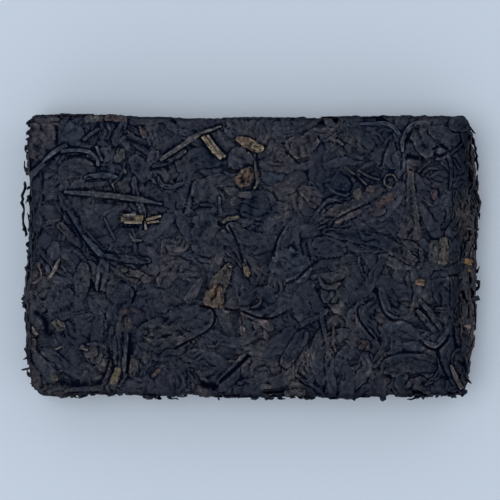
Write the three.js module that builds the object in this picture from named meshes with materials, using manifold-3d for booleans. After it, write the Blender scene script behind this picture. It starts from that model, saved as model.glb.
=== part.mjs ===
// A pressed brick of ripe pu erh tea: one solid of compressed leaves, lying flat.
// A plain block with softly bulging walls carries the leaves that show: broad flat leaves and
// rolled leaves with a few stalks on the top face, and layered leaf edges around the four walls.
// Millimetres, +Z up, the origin under the middle of the brick on the face that it lies on.
import * as THREE from "three";
import { mergeVertices } from "three/addons/utils/BufferGeometryUtils.js";
import Module from "manifold-3d";

// Driving dimensions of the block, as the mould leaves it
const BLOCK_LENGTH = 139;
const BLOCK_WIDTH = 88.5;
const BLOCK_HEIGHT = 26;
const CORNER_RADIUS = 3.5;
const RIM_RADIUS = 2.2;

// Out of the mould the walls swell: the short end walls most, and none of them evenly
const END_BULGE = 2.4;
const SIDE_BULGE = 0.6;
const WALL_WAVE = 0.35;

// Leaves are sunk this deep into the block, and pressed flush below the mould plate
const LEAF_SINK = 1.7;
const PLATE_GAP = 1.25;

// How every leaf is formed, as shares of its length, width and rise
const LEAF_FORM = { bluntEnds: 0.35, edgeDrop: 0.75, endDrop: 0.3, ripple: 0.22, rippleSkew: 2.5 };

// The leaves on the top face, the largest first, each kind laid out on a jittered grid
const BROAD_LEAVES = { columns: 6, rows: 4, length: 20, width: 12, rise: 0.6, bow: 1.6, cells: [4, 2] };
const ROLLED_LEAVES = { columns: 8, rows: 5, length: 20, width: 4.8, rise: 1.05, bow: 2.6, cells: [5, 2] };
const SLIVERS = { columns: 4, rows: 3, length: 10, width: 2.4, rise: 1.1, bow: 0.8, cells: [3, 2] };

// Layered leaf edges around the walls: rows from the bottom rim to the top rim
const WALL_LEAVES = { perRow: 12, rows: 3, length: 27, width: 5.6, rise: 0.75, bow: 1.1, cells: [4, 2] };
const WALL_LEAF_LEAN = 0.16;
const ROW_JITTER = 0.7;

// Stalks that lie on the top face: two ends and a diameter
const STALKS = [
  { from: [-29.4, 31.3], to: [-10.5, 42.0], diameter: 1.8 },
  { from: [-15.5, 39.0], to: [-8.4, 31.9], diameter: 2.4 },
  { from: [-59.7, 20.3], to: [-29.0, 16.8], diameter: 2.0 },
  { from: [-41.6, 12.0], to: [-29.4, 11.5], diameter: 2.6 },
  { from: [-68.4, 27.5], to: [-59.7, 35.5], diameter: 1.8 },
  { from: [22.3, 11.6], to: [41.6, 21.0], diameter: 2.8 },
  { from: [64.5, -34.5], to: [68.4, -42.4], diameter: 1.6 },
];
const STALK_SIDES = 6;

// Strips of leaf that have come loose and curl along the two end walls
const LOOSE_STRIP_DIAMETER = 1.6;
const LOOSE_STRIPS = [
  [[-69.0, 27.0, 17.0], [-72.8, 20.0, 16.0], [-73.6, 15.5, 15.2], [-74.2, 10.0, 14.5]],
  [[69.0, 27.0, 11.5], [72.8, 21.0, 12.5], [74.2, 15.0, 13.2], [73.2, 9.0, 14.0]],
];

const BROWN_BLACK = 0x2b2a2d;

// Seeded draws, so that every build lays the same leaves
let drawState = 7;
function draw() {
  drawState = (Math.imul(drawState, 1664525) + 1013904223) >>> 0;
  return drawState / 2 ** 32;
}
const between = (low, high) => low + (high - low) * draw();

const wasm = await Module();
wasm.setup();

function toSolid(geometry) {
  const bare = geometry.clone();
  bare.deleteAttribute("normal");
  bare.deleteAttribute("uv");
  const merged = mergeVertices(bare, 1e-4);
  return new wasm.Manifold(
    new wasm.Mesh({
      numProp: 3,
      vertProperties: new Float32Array(merged.attributes.position.array),
      triVerts: new Uint32Array(merged.index.array),
    }),
  );
}

function toGeometry(solid) {
  const mesh = solid.getMesh();
  const geometry = new THREE.BufferGeometry();
  geometry.setAttribute("position", new THREE.BufferAttribute(mesh.vertProperties, 3));
  geometry.setIndex(new THREE.BufferAttribute(mesh.triVerts, 1));
  return geometry;
}

// Moves every vertex of a geometry to the place that a rule gives for it
function reshape(geometry, rule) {
  const place = geometry.attributes.position;
  const vertex = new THREE.Vector3();
  for (let i = 0; i < place.count; i++) {
    vertex.fromBufferAttribute(place, i);
    const moved = rule(vertex);
    place.setXYZ(i, moved.x, moved.y, moved.z);
  }
  return geometry;
}

// The mould's outline seen from above, a rectangle with round corners, run through once anticlockwise
function mouldOutline() {
  const x = BLOCK_LENGTH / 2;
  const y = BLOCK_WIDTH / 2;
  const r = CORNER_RADIUS;
  const outline = new THREE.Shape();
  outline.moveTo(r - x, -y);
  outline.lineTo(x - r, -y);
  outline.absarc(x - r, r - y, r, -Math.PI / 2, 0, false);
  outline.lineTo(x, y - r);
  outline.absarc(x - r, y - r, r, 0, Math.PI / 2, false);
  outline.lineTo(r - x, y);
  outline.absarc(r - x, y - r, r, Math.PI / 2, Math.PI, false);
  outline.lineTo(-x, r - y);
  outline.absarc(r - x, r - y, r, Math.PI, Math.PI * 1.5, false);
  return outline;
}
const OUTLINE = mouldOutline();
const PERIMETER = OUTLINE.getLength();

// The nearest point of the rectangle on which the corner arcs are centred, and the way out from it
function wayOut(x, y) {
  const reachX = BLOCK_LENGTH / 2 - CORNER_RADIUS;
  const reachY = BLOCK_WIDTH / 2 - CORNER_RADIUS;
  const inner = new THREE.Vector2(
    THREE.MathUtils.clamp(x, -reachX, reachX),
    THREE.MathUtils.clamp(y, -reachY, reachY),
  );
  const out = new THREE.Vector2(x, y).sub(inner);
  const distance = out.length();
  return { inner, out: out.normalize(), distance };
}

// How far the wall stands out of the mould's outline: fullest in the middle of a wall, none at the rims
function wallOffset(x, y, z) {
  const up = THREE.MathUtils.clamp((z - RIM_RADIUS) / (BLOCK_HEIGHT - 2 * RIM_RADIUS), 0, 1);
  const { out } = wayOut(x, y);
  const end = END_BULGE * out.x ** 2 * (1 - (2 * y / BLOCK_WIDTH) ** 2);
  const side = SIDE_BULGE * out.y ** 2 * (1 - (2 * x / BLOCK_LENGTH) ** 2);
  const wave = WALL_WAVE * Math.sin(x / 8.5 + z / 6) * Math.cos(y / 7 - z / 9 + 1);
  return Math.sin(Math.PI * up) * (end + side + wave);
}

// A place on the top face, bent down over the rim where it runs past the flat
function overTop(x, y, height) {
  const { inner, out, distance } = wayOut(x, y);
  const flat = CORNER_RADIUS - RIM_RADIUS;
  const past = distance - flat;
  if (past <= 0) return new THREE.Vector3(x, y, BLOCK_HEIGHT + height);
  const turn = Math.min(past / RIM_RADIUS, Math.PI / 2);
  const drop = Math.max(0, past - (RIM_RADIUS * Math.PI) / 2);
  const z = BLOCK_HEIGHT - RIM_RADIUS + (RIM_RADIUS + height) * Math.cos(turn) - drop;
  const reach = flat + (RIM_RADIUS + height) * Math.sin(turn) + wallOffset(x, y, z);
  return new THREE.Vector3(inner.x + out.x * reach, inner.y + out.y * reach, z);
}

// A place on the walls: a distance round the brick, a height, and how far it stands out
function roundWall(distance, z, height) {
  const along = THREE.MathUtils.euclideanModulo(distance / PERIMETER, 1);
  const point = OUTLINE.getPointAt(along);
  const way = OUTLINE.getTangentAt(along);
  const reach = wallOffset(point.x, point.y, z) + height;
  return new THREE.Vector3(point.x + way.y * reach, point.y - way.x * reach, z);
}

// The outline's own points: straight runs cut to even steps, and each round corner in three
function outlinePoints() {
  const step = 9.5;
  const cornerSteps = 3;
  return OUTLINE.curves.flatMap((curve) => {
    const count = curve.isLineCurve ? Math.round(curve.getLength() / step) : cornerSteps;
    return curve.getPoints(count).slice(0, count);
  });
}

function block() {
  const body = new THREE.ExtrudeGeometry(new THREE.Shape(outlinePoints()), {
    depth: BLOCK_HEIGHT - 2 * RIM_RADIUS,
    steps: 4,
    bevelThickness: RIM_RADIUS,
    bevelSize: RIM_RADIUS,
    bevelOffset: -RIM_RADIUS,
    bevelSegments: 2,
  });
  body.translate(0, 0, RIM_RADIUS);
  return reshape(body, ({ x, y, z }) => {
    const { out } = wayOut(x, y);
    const reach = wallOffset(x, y, z);
    return new THREE.Vector3(x + out.x * reach, y + out.y * reach, z);
  });
}

// A leaf as a wavy pad. It runs along a bowed spine, narrows to both ends, and its edges are turned down.
// `onto` sets a place along, across and above the leaf on the face that carries it.
function leafPad({ length, width, rise, bow, cells }, onto) {
  const { bluntEnds, edgeDrop, endDrop, ripple, rippleSkew } = LEAF_FORM;
  const waves = between(1.1, 2.2) * 2 * Math.PI;
  const phase = between(0, 2 * Math.PI);
  const pad = new THREE.BoxGeometry(1, 1, 1, cells[0], cells[1], 1);
  return reshape(pad, ({ x, y, z }) => {
    const end = Math.abs(2 * x) ** 3;
    const taper = bluntEnds + (1 - bluntEnds) * Math.sqrt(1 - end);
    const along = x * length;
    const across = y * width * taper + bow * (1 - (2 * x) ** 2);
    const crown = 1 - edgeDrop * (2 * y) ** 2 - endDrop * end;
    const top = rise * (crown + ripple * Math.sin(waves * x + phase + rippleSkew * y));
    return onto(along, across, z < 0 ? -LEAF_SINK : Math.min(top, PLATE_GAP));
  });
}

// One kind of leaf spread over the top face, each turned its own way
function topLeaves(kind) {
  const pads = [];
  const stepX = BLOCK_LENGTH / kind.columns;
  const stepY = BLOCK_WIDTH / kind.rows;
  for (let i = 0; i < kind.columns * kind.rows; i++) {
    const x = ((i % kind.columns) + between(0.25, 0.75)) * stepX - BLOCK_LENGTH / 2;
    const y = (Math.floor(i / kind.columns) + between(0.25, 0.75)) * stepY - BLOCK_WIDTH / 2;
    const heading = between(0, Math.PI);
    const cos = Math.cos(heading);
    const sin = Math.sin(heading);
    const leaf = {
      ...kind,
      length: kind.length * between(0.8, 1.2),
      width: kind.width * between(0.85, 1.15),
      bow: draw() < 0.5 ? -kind.bow : kind.bow,
    };
    pads.push(
      leafPad(leaf, (along, across, height) =>
        overTop(x + along * cos - across * sin, y + along * sin + across * cos, height),
      ),
    );
  }
  return pads;
}

function wallLeaves() {
  const pads = [];
  const { perRow, rows } = WALL_LEAVES;
  const lowest = RIM_RADIUS + 1.4;
  const rowStep = (BLOCK_HEIGHT - 2 * lowest) / (rows - 1);
  const floor = RIM_RADIUS * 0.6;
  for (let i = 0; i < perRow * rows; i++) {
    const row = Math.floor(i / perRow);
    const place = (i % perRow) + 0.5 * (row % 2) + between(-0.2, 0.2);
    const level = lowest + row * rowStep + between(-ROW_JITTER, ROW_JITTER);
    const lean = between(-WALL_LEAF_LEAN, WALL_LEAF_LEAN);
    const leaf = {
      ...WALL_LEAVES,
      length: WALL_LEAVES.length * between(0.75, 1.2),
      bow: between(-1, 1) * WALL_LEAVES.bow,
    };
    pads.push(
      leafPad(leaf, (along, across, height) => {
        const z = THREE.MathUtils.clamp(level + across + along * lean, floor, BLOCK_HEIGHT - floor);
        return roundWall((place * PERIMETER) / perRow + along, z, height);
      }),
    );
  }
  return pads;
}

// A stalk: a rod of a few sides along a curve, pressed half into what carries it
function stalkRod(points, diameter) {
  const corners = Array.from({ length: STALK_SIDES }, (_, i) => {
    const turn = (2 * Math.PI * i) / STALK_SIDES;
    return new THREE.Vector2(Math.cos(turn), Math.sin(turn)).multiplyScalar(diameter / 2);
  });
  return new THREE.ExtrudeGeometry(new THREE.Shape(corners), {
    steps: 2 * (points.length - 1),
    extrudePath: new THREE.CatmullRomCurve3(points.map((p) => new THREE.Vector3(...p))),
    bevelEnabled: false,
  });
}

// A stalk on the top face lies level with the mould plate, bowed a little, with its ends turned down
function topStalk({ from, to, diameter }) {
  const level = BLOCK_HEIGHT + PLATE_GAP - diameter / 2;
  const ends = [from, to].map(([x, y]) => [x, y, level - 0.3]);
  const middle = [(from[0] + to[0]) / 2, (from[1] + to[1]) / 2 + diameter / 4, level];
  return stalkRod([ends[0], middle, ends[1]], diameter);
}

// Everything is pressed into one solid, which is centred over the origin by its own box
function teaBrick() {
  const pieces = [
    block(),
    ...[BROAD_LEAVES, ROLLED_LEAVES, SLIVERS].flatMap(topLeaves),
    ...wallLeaves(),
    ...STALKS.map(topStalk),
    ...LOOSE_STRIPS.map((points) => stalkRod(points, LOOSE_STRIP_DIAMETER)),
  ];
  const pressed = toGeometry(pieces.map(toSolid).reduce((whole, piece) => whole.add(piece)));
  pressed.computeBoundingBox();
  const middle = pressed.boundingBox.getCenter(new THREE.Vector3());
  pressed.translate(-middle.x, -middle.y, 0);
  pressed.computeVertexNormals();
  const material = new THREE.MeshStandardMaterial({ color: BROWN_BLACK, roughness: 0.7, metalness: 0 });
  const brick = new THREE.Mesh(pressed, material);
  brick.name = "tea_brick";
  return brick;
}

const part = new THREE.Group();
part.add(teaBrick());
export default part;
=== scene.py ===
"""A pressed brick of ripe pu erh tea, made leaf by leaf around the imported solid.

Leaves are laid one after another on three beds: the top face, the underside and the walls. Each leaf
drapes over what already lies there, and after each round the bed is pressed flat, as by the mould's plate.
Lengths are in millimetres until a mesh is made, and heights are measured out of the core's own faces.
"""

import math
from functools import lru_cache
from types import SimpleNamespace

import bpy
import numpy as np
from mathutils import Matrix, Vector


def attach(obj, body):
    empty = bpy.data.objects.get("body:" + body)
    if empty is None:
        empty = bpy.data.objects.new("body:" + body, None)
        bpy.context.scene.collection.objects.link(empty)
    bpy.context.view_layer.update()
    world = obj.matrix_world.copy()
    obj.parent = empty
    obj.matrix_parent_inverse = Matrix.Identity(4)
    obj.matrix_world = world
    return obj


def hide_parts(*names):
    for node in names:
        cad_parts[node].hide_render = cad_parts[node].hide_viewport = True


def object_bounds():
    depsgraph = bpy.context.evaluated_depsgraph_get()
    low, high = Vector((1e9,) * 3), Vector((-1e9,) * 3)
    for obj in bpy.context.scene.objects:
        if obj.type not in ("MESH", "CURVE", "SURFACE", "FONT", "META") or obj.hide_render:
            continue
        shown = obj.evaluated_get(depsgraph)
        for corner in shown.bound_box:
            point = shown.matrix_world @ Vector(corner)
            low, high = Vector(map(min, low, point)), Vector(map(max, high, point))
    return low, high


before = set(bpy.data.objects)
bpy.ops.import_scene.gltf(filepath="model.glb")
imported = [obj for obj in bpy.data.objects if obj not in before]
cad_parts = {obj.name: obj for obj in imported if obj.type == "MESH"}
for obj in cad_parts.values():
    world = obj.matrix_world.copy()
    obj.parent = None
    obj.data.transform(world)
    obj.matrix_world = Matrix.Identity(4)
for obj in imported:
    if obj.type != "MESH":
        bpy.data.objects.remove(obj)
SOLID_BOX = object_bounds()
MM = 0.001

# The mould's inside, as the solid has it, but with the sharper rims that leaves make there
MOULD_LENGTH = 139.6
MOULD_WIDTH = 90.6
CORNER_RADIUS = 1.2
RIM_RADIUS = 0.8
END_BULGE = 2.9
SIDE_BULGE = 0.3
WALL_SETBACK = 0.3

# The mould's two plates: a few leaves stand out past them, up to the solid's top and down to the floor
PEAK_ROOM = 0.45
TOP = SOLID_BOX[1].z / MM - PEAK_ROOM
FLOOR = PEAK_ROOM
REACH_X = MOULD_LENGTH / 2 - CORNER_RADIUS
REACH_Y = MOULD_WIDTH / 2 - CORNER_RADIUS
RIM_FLAT = CORNER_RADIUS - RIM_RADIUS
QUARTER = math.pi / 2
CORNER_STEPS = 10
FINE_STEPS = 900

# Where the edge is broken: the cut across the corner at the low left, and the worn and leaning right end
CUT_DEPTH = 2.6
CUT_WAVE = 0.5
KNOCKED_CORNER = (MOULD_LENGTH + MOULD_WIDTH) / 2 - CUT_DEPTH
WORN_LENGTH = 6.0
WORN_FROM = MOULD_LENGTH / 2 - WORN_LENGTH
WORN_BACK = 2.4
WORN_DROP = 0.8
LEAN_OUT = 1.6

# The worn front rim: how worn it is as a share, where that starts inside the rim, and over what length
FRONT_WORN = 0.6
FRONT_WORN_FROM = 3.0
FRONT_WORN_LENGTH = 2.4

# How far a leaf over the rim stands out: least, also where another hides it, and most
TUCKED_IN = -0.3
STANDS_OUT = 0.8

# The torn line of leaf edges along the sides: where it starts, and how far along it the long sides start
# after the ends, the steps between tears, how far they stand out or in, how far in from the outline leaves
# follow them, and how ragged the back edge is as a share of the others
TEARS_FROM = -90
TEARS_APART = 31
TEAR_COUNT = 160
TEAR_STEPS = (0.4, 2.2)
TEAR_SIZE = 0.3
TEAR_LIMITS = (-0.25, 0.6)
TEAR_ZONE = 7.0
BACK_TORN = 0.4

# How far each side is pushed in from the mould's outline: place in photo pixels, and millimetres
PUSHED_IN = {
    "back": [(42, 0.2), (92, 0.0), (120, 0.3), (142, 1.2), (340, 1.1), (400, 0.6), (450, 0.9)],
    "front": [(50, 0.2), (125, 0.8), (230, 0.0), (350, -0.1), (440, 0.6)],
    "left": [(127, -1.3), (160, -1.3), (230, 0.4), (255, 0.4), (300, -1.7), (350, -1.3), (380, -0.6)],
    "right": [(116, 0.4), (127, -0.9), (215, -0.2), (252, 1.1), (300, 0.1), (377, 0.5)],
}

# The bed of leaves: its depth from the core to the mould, how far the core stays below, the core's cells and
# the most painted light it gets, painted darker where it lies deep, how far the mould's plate spreads a
# push, the trench that a leaf presses in beside its edge, and the size of the patches where such trenches
# stay open
DEPTH = 1.4
CORE_SINK = 0.25
CORE_CELL = 1.0
CORE_PAINTED_LIGHT = 0.5
PLATE_STIFFNESS = 2.2
TRENCH_DEPTH = 0.7
TRENCH_REACH = 0.3
PATCH_REACH = 1.8

# How much painted light a leaf gets, painted dark in clefts and bright on ridges: judged over a close and a
# wide reach, by the height that paints it fully lit and the depth of a full hollow, painted darkest. A leaf
# that shows less than the least share is left out. A mean over the places where leaves lie is never divided
# by less than the least share laid.
CLOSE_REACH = 0.45
WIDE_REACH = 2.2
PAINTED_LIGHT_HEIGHT = 0.33
HOLLOW_DEPTH = 1.1
LEAST_SHOWN = 0.09
LEAST_LAID = 0.05

# The photograph: the brick's middle in its pixels, and its scale on the top face
PHOTO_MIDDLE = (251.0, 255.5)
PHOTO_FRAME = 500
PIXELS_A_MM = 3.1
CAMERA_HEIGHT = 1000.0

# Places on the top face where no leaf is brown: middle in photo pixels, and reach in millimetres
DARK_PLACES = {
    "right of the low middle strap": ((316, 362), 6.0),
    "right of the brown triangle": ((341, 161), 5.0),
    "above the low middle strap": ((266, 326), 4.0),
}

# Painted light: how much paler the top face gets towards the back, as a share for each millimetre, and how
# dark the right end wall is
BACK_PAINTED_LIGHT = 0.0050
END_WALL_SHADE = 0.40

# Leaf colours, as the share of red, green and blue light that each gives back, and a painted blue sheen of
# the sky over all
PAINTED_SKY_SHEEN = (0.0007, 0.0021, 0.0076)
INK = (0.0155, 0.0195, 0.0270)
SLATE = (0.0305, 0.0335, 0.0410)
PEAT = (0.0420, 0.0300, 0.0240)
UMBER = (0.0740, 0.0560, 0.0510)
RUST = (0.1300, 0.0760, 0.0560)
BARK = (0.0640, 0.0530, 0.0480)
TWIG = (0.0600, 0.0600, 0.0630)
LEAD = (0.0500, 0.0550, 0.0660)
ASH = (0.0680, 0.0760, 0.0920)
MOSS = (0.2100, 0.1700, 0.1050)
OAK = (0.1100, 0.0810, 0.0570)
OCHRE = (0.2950, 0.1740, 0.0880)
OLIVE = (0.1050, 0.0910, 0.0700)
TAN = (0.1500, 0.1300, 0.1150)
STRAW = (0.2900, 0.2250, 0.1700)
GOLD = (0.3300, 0.2250, 0.1020)
HAY = (0.5000, 0.3700, 0.2000)
AMBER = (0.2900, 0.1550, 0.0720)
FLAME = (0.6000, 0.3100, 0.1100)
BLUSH = (0.4800, 0.3300, 0.2700)

# Leaves that the photograph shows: form, colour, width or widths along it, and path, in its pixels.
# They are laid in this order, so the last ones lie on top.
SHOWN_LEAVES = {
    "brown corner leaf": ("smooth", UMBER, (28, 30, 16), [(43, 123), (42, 142), (44, 161)]),
    "round leaf": ("smooth", LEAD, 23, [(62, 131), (84, 138)]),
    "leaf along the left edge": ("broad", INK, 13, [(39, 168), (36, 200), (37, 232)]),
    "long leaf at the upper left": ("broad", SLATE, 11, [(54, 198), (72, 222), (104, 255)]),
    "leaf under the arch": ("broad", INK, 20, [(58, 172), (80, 168), (98, 176)]),
    "smooth leaf over the twig": ("smooth", SLATE, 19, [(131, 156), (148, 180)]),
    "leaf below the stem": ("broad", INK, 22, [(176, 166), (200, 158), (222, 160)]),
    "upper middle leaf": ("smooth", SLATE, 24, [(230, 152), (252, 168)]),
    "left middle leaf": ("smooth", SLATE, 27, [(196, 180), (206, 196), (207, 216)]),
    "left middle leaf below": ("smooth", SLATE, 29, [(204, 214), (206, 236), (203, 256)]),
    "cradle leaf": ("smooth", SLATE, 15, [(227, 224), (245, 237), (268, 240)]),
    "middle fan": ("smooth", SLATE, (6, 20, 36), [(297, 217), (290, 238), (287, 262)]),
    "dark patch": ("broad", INK, 30, [(240, 206), (276, 204)]),
    "brown triangle leaf": ("smooth", UMBER, (10, 24, 18), [(290, 158), (302, 147), (317, 137)]),
    "upper right leaf": ("broad", INK, 30, [(345, 132), (370, 152)]),
    "right middle leaf": ("smooth", SLATE, 24, [(312, 250), (346, 244)]),
    "oval leaf": ("smooth", LEAD, 32, [(272, 258), (311, 272)]),
    "smooth pair, left": ("smooth", SLATE, 23, [(418, 130), (428, 158)]),
    "smooth pair, right": ("smooth", SLATE, (14, 20, 12), [(430, 129), (444, 134), (459, 143)]),
    "tall triangle leaf": ("smooth", SLATE, (6, 14, 19), [(392, 141), (391, 155), (390, 169)]),
    "sweeping leaf": ("folded", INK, 14, [(322, 231), (368, 239), (390, 246), (416, 263)]),
    "brown fan": (
        "smooth", BARK, (8, 9, 11, 18, 32), [(411, 171), (411, 188), (412, 204), (411, 221), (409, 239)],
    ),
    "low right pointed leaf": ("broad", INK, 19, [(441, 271), (441, 288), (446, 306)]),
    "low right wrinkled leaf": ("broad", INK, 20, [(381, 370), (405, 362), (440, 366)]),
    "corner leaf at the low right": ("broad", INK, 16, [(456, 338), (446, 356), (448, 376)]),
    "low left smooth leaf": ("smooth", SLATE, 28, [(61, 287), (60, 321)]),
    "low left brown leaf": ("broad", UMBER, 14, [(36, 262), (36, 284)]),
    "rounded finger": ("smooth", SLATE, 17, [(84, 262), (80, 293)]),
    "slim finger": ("smooth", SLATE, 13, [(106, 257), (98, 291)]),
    "crumpled brown leaf": ("folded", UMBER, (10, 14, 8), [(116, 268), (134, 276), (151, 280)]),
    "patch at the low left": ("folded", SLATE, (8, 12, 9), [(44, 350), (57, 359), (68, 368)]),
    "ring leaf": ("broad", INK, 26, [(106, 290), (131, 292)]),
    "long olive strip": ("folded", BARK, 9, [(58, 223), (72, 237), (92, 254)]),
    "small middle leaf": ("smooth", SLATE, 14, [(219, 232), (230, 243)]),
    "large crumpled leaf": ("broad", SLATE, 38, [(136, 338), (172, 329), (214, 312)]),
    "leaf under the large one": ("broad", INK, 24, [(150, 352), (190, 345)]),
    "low left corner leaf": ("broad", UMBER, 12, [(31, 362), (38, 390)]),
    "low edge leaf": ("broad", SLATE, 15, [(217, 391), (233, 374), (248, 356)]),
    "low middle strap": ("broad", SLATE, 15, [(306, 330), (283, 367)]),
    "low middle leaf": ("broad", INK, 30, [(240, 310), (275, 296)]),
    "cup leaf": ("broad", SLATE, (20, 18), [(330, 284), (329, 303)]),
    "upper right corner leaf": ("broad", SLATE, 17, [(449, 124), (461, 123), (475, 124)]),
    "leaf at the right end": ("broad", INK, 13, [(457, 190), (462, 208), (459, 230)]),
    "lower leaf at the right end": ("broad", INK, 14, [(460, 276), (459, 300), (457, 318)]),
    "low right corner fold": ("broad", SLATE, 15, [(446, 387), (457, 386), (468, 383)]),
    "leaf left of the strap": ("folded", INK, 14, [(99, 315), (97, 340), (95, 364)]),
    "brown leaf at the low left": ("broad", UMBER, 14, [(84, 352), (98, 352)]),
    "round dark leaf": ("smooth", INK, 19, [(332, 180), (349, 186)]),
    "under strip": ("smooth", UMBER, 7, [(334, 222), (347, 216), (362, 211)]),
    "broad brown strip": ("folded", BARK, (10, 12, 8, 5), [(319, 222), (337, 211), (358, 202), (384, 189)]),
    "brown leaf under the orange chip": ("smooth", UMBER, 10, [(370, 212), (386, 211)]),
    "middle brown fold": ("folded", UMBER, (10, 18, 14), [(301, 186), (312, 196), (318, 207)]),
    "stalk fork, left": ("strip", ASH, 5, [(359, 122), (384, 122), (393, 126), (403, 139)]),
    "stalk fork, right": ("strip", ASH, 5, [(430, 121), (416, 121), (408, 129), (403, 140), (403, 152)]),
    "ridge": ("stalk", ASH, 5.4, [(29, 181), (45, 164), (56, 151), (67, 145)]),
    "arch": ("stalk", ASH, 4.0, [(61, 151), (77, 150), (89, 152), (97, 159), (98, 166)]),
    "arch's side": ("stalk", ASH, 3.4, [(96, 146), (102, 161)]),
    "short ridge": ("stalk", LEAD, 4.0, [(83, 140), (99, 128)]),
    "ribbon": ("strip", SLATE, 9, [(126, 118), (118, 132), (114, 146)]),
    "bent strip over the twig": ("strip", LEAD, 7, [(134, 176), (136, 194), (141, 207), (144, 218)]),
    "upper left strip": ("strip", INK, 9, [(59, 192), (70, 214), (82, 237)]),
    "thin strip": ("strip", LEAD, 3.5, [(104, 218), (115, 240)]),
    "level strip": ("strip", LEAD, 6, [(84, 178), (100, 175), (118, 177)]),
    "level strip below": ("strip", SLATE, 6, [(86, 185), (108, 183)]),
    "end of the long leaf": ("strip", ASH, 8, [(82, 236), (92, 246), (104, 257)]),
    "strip by the right edge": ("strip", SLATE, 5, [(447, 152), (452, 168), (451, 190)]),
    "curl at the right edge": ("strip", LEAD, 3, [(455, 159), (461, 167), (467, 171)]),
    "short strip by the pit": ("strip", LEAD, 3.5, [(407, 160), (417, 166)]),
    "short strip below the pit": ("strip", INK, 3, [(418, 172), (431, 160)]),
    "low strip": ("strip", SLATE, 8, [(103, 255), (128, 259), (151, 261)]),
    "loop by the stem": ("strip", LEAD, 5, [(158, 176), (161, 184), (171, 187), (185, 182)]),
    "strip under the loop": ("strip", SLATE, 6, [(152, 167), (170, 160), (186, 150)]),
    "thin curve": ("strip", LEAD, 4, [(219, 196), (221, 215)]),
    "curve by the round leaf": ("strip", LEAD, 3.5, [(317, 212), (325, 203), (332, 199), (343, 202)]),
    "curve below the round leaf": ("strip", ASH, 3.5, [(326, 185), (337, 193), (346, 195), (352, 191)]),
    "thin strip by the brown one": ("strip", ASH, 2.6, [(318, 229), (327, 225), (336, 218)]),
    "hook": ("folded", INK, (8, 14, 13, 8), [(378, 303), (369, 308), (367, 318), (373, 330), (378, 340)]),
    "loop": ("folded", SLATE, (8, 11, 10, 7), [(381, 287), (384, 303), (391, 315), (398, 316)]),
    "loop's inside": ("folded", INK, 8, [(392, 290), (397, 306)]),
    "tail": ("strip", INK, 6, [(378, 326), (385, 336), (383, 348), (372, 363)]),
    "straight pair, upper": ("strip", LEAD, 6, [(419, 299), (431, 314), (443, 331)]),
    "straight pair, lower": ("strip", LEAD, 6, [(417, 310), (436, 333)]),
    "scoop": ("strip", LEAD, 6, [(424, 342), (435, 345), (442, 339), (449, 329)]),
    "low right strip": ("strip", SLATE, 5, [(406, 389), (413, 379)]),
    "strap, first fold": ("strip", BARK, 7, [(113, 322), (111, 338), (114, 352), (110, 370), (100, 390)]),
    "strap, second fold": ("strip", TWIG, 7, [(115, 313), (118, 330), (115, 348), (117, 368), (107, 391)]),
    "strap, third fold": ("strip", BARK, 7, [(121, 314), (119, 332), (122, 352), (120, 370), (112, 390)]),
    "strap, last fold": ("strip", TWIG, 6, [(125, 330), (127, 346), (124, 362), (125, 374), (119, 388)]),
    "strap strips": ("strip", SLATE, 5, [(321, 312), (326, 342)]),
    "strap strip beside": ("strip", INK, 4, [(333, 326), (335, 342)]),
    "low loop": ("strip", INK, 4, [(188, 371), (194, 381), (201, 385)]),
    "low edge strip": ("strip", SLATE, 6, [(66, 391), (84, 391), (103, 389)]),
    "cup's lip": ("strip", LEAD, 5, [(319, 277), (323, 285), (331, 288), (341, 283)]),
    "twig": ("stalk", TWIG, (4, 6, 6, 3), [(64, 192), (104, 195), (136, 199), (162, 204)]),
    "tan stalk": ("stalk", TAN, (5, 5, 4.5, 3.5), [(160, 160), (181, 146), (201, 133), (221, 124)]),
    "golden stalk": ("stalk", HAY, 6, [(203, 136), (213, 149), (222, 158)]),
    "golden stalk's side": ("stalk", MOSS, 3.4, [(207, 135), (216, 148), (225, 157)]),
    "golden stalk's rib": ("stalk", HAY, 2.2, [(205, 138), (214, 150)]),
    "golden block": ("stalk", GOLD, 6, [(121, 219), (143, 218)]),
    "golden block's top": ("stalk", TAN, 3.6, [(123, 216), (136, 215)]),
    "golden block's foot": ("stalk", MOSS, 3.6, [(124, 222), (142, 222)]),
    "golden wedge": ("stalk", HAY, (4, 3), [(146, 220), (161, 216)]),
    "golden wedge's foot": ("stalk", HAY, 2.6, [(147, 223), (159, 221)]),
    "golden drop": ("stalk", TAN, 2.6, [(145, 221), (146, 230)]),
    "olive stalk": ("stalk", BARK, 2.6, [(343, 165), (355, 175), (367, 185)]),
    "olive stalk beside": ("stalk", BARK, 2.4, [(358, 170), (368, 176), (380, 180)]),
    "ring": ("stalk", OLIVE, 2.2, [(392, 188), (385, 184), (386, 176), (393, 175), (397, 181)]),
    "amber leaf": ("smooth", OCHRE, (6, 11, 11, 8), [(236, 138), (246, 142), (256, 147), (263, 149)]),
    "amber leaf's tip": ("chip", HAY, 8, [(251, 145), (264, 149)]),
    "mottled leaf": ("chip", OCHRE, (14, 18, 14), [(236, 184), (246, 177), (258, 171)]),
    "mottled leaf's middle": ("chip", AMBER, 9, [(243, 178), (254, 174)]),
    "curved sliver": ("stalk", OLIVE, 2.6, [(255, 161), (256, 172), (257, 183), (254, 189)]),
    "olive sliver": ("chip", MOSS, 5, [(222, 223), (228, 219), (240, 217)]),
    "pale brown flake": ("chip", TAN, 8, [(237, 194), (252, 196)]),
    "golden leaf": ("smooth", OAK, (8, 15, 20, 20), [(231, 264), (223, 277), (216, 290), (213, 305)]),
    "golden leaf's side": ("chip", OCHRE, 6, [(208, 290), (206, 303)]),
    "golden leaf's foot": ("chip", OCHRE, (10, 18, 27), [(219, 285), (215, 296), (213, 308)]),
    "golden leaf's bright tip": ("chip", STRAW, 2.6, [(228, 266), (232, 267)]),
    "tan chip": ("chip", GOLD, 7, [(245, 266), (249, 277)]),
    "tan sliver": ("chip", STRAW, 4.4, [(49, 280), (60, 258)]),
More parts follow.
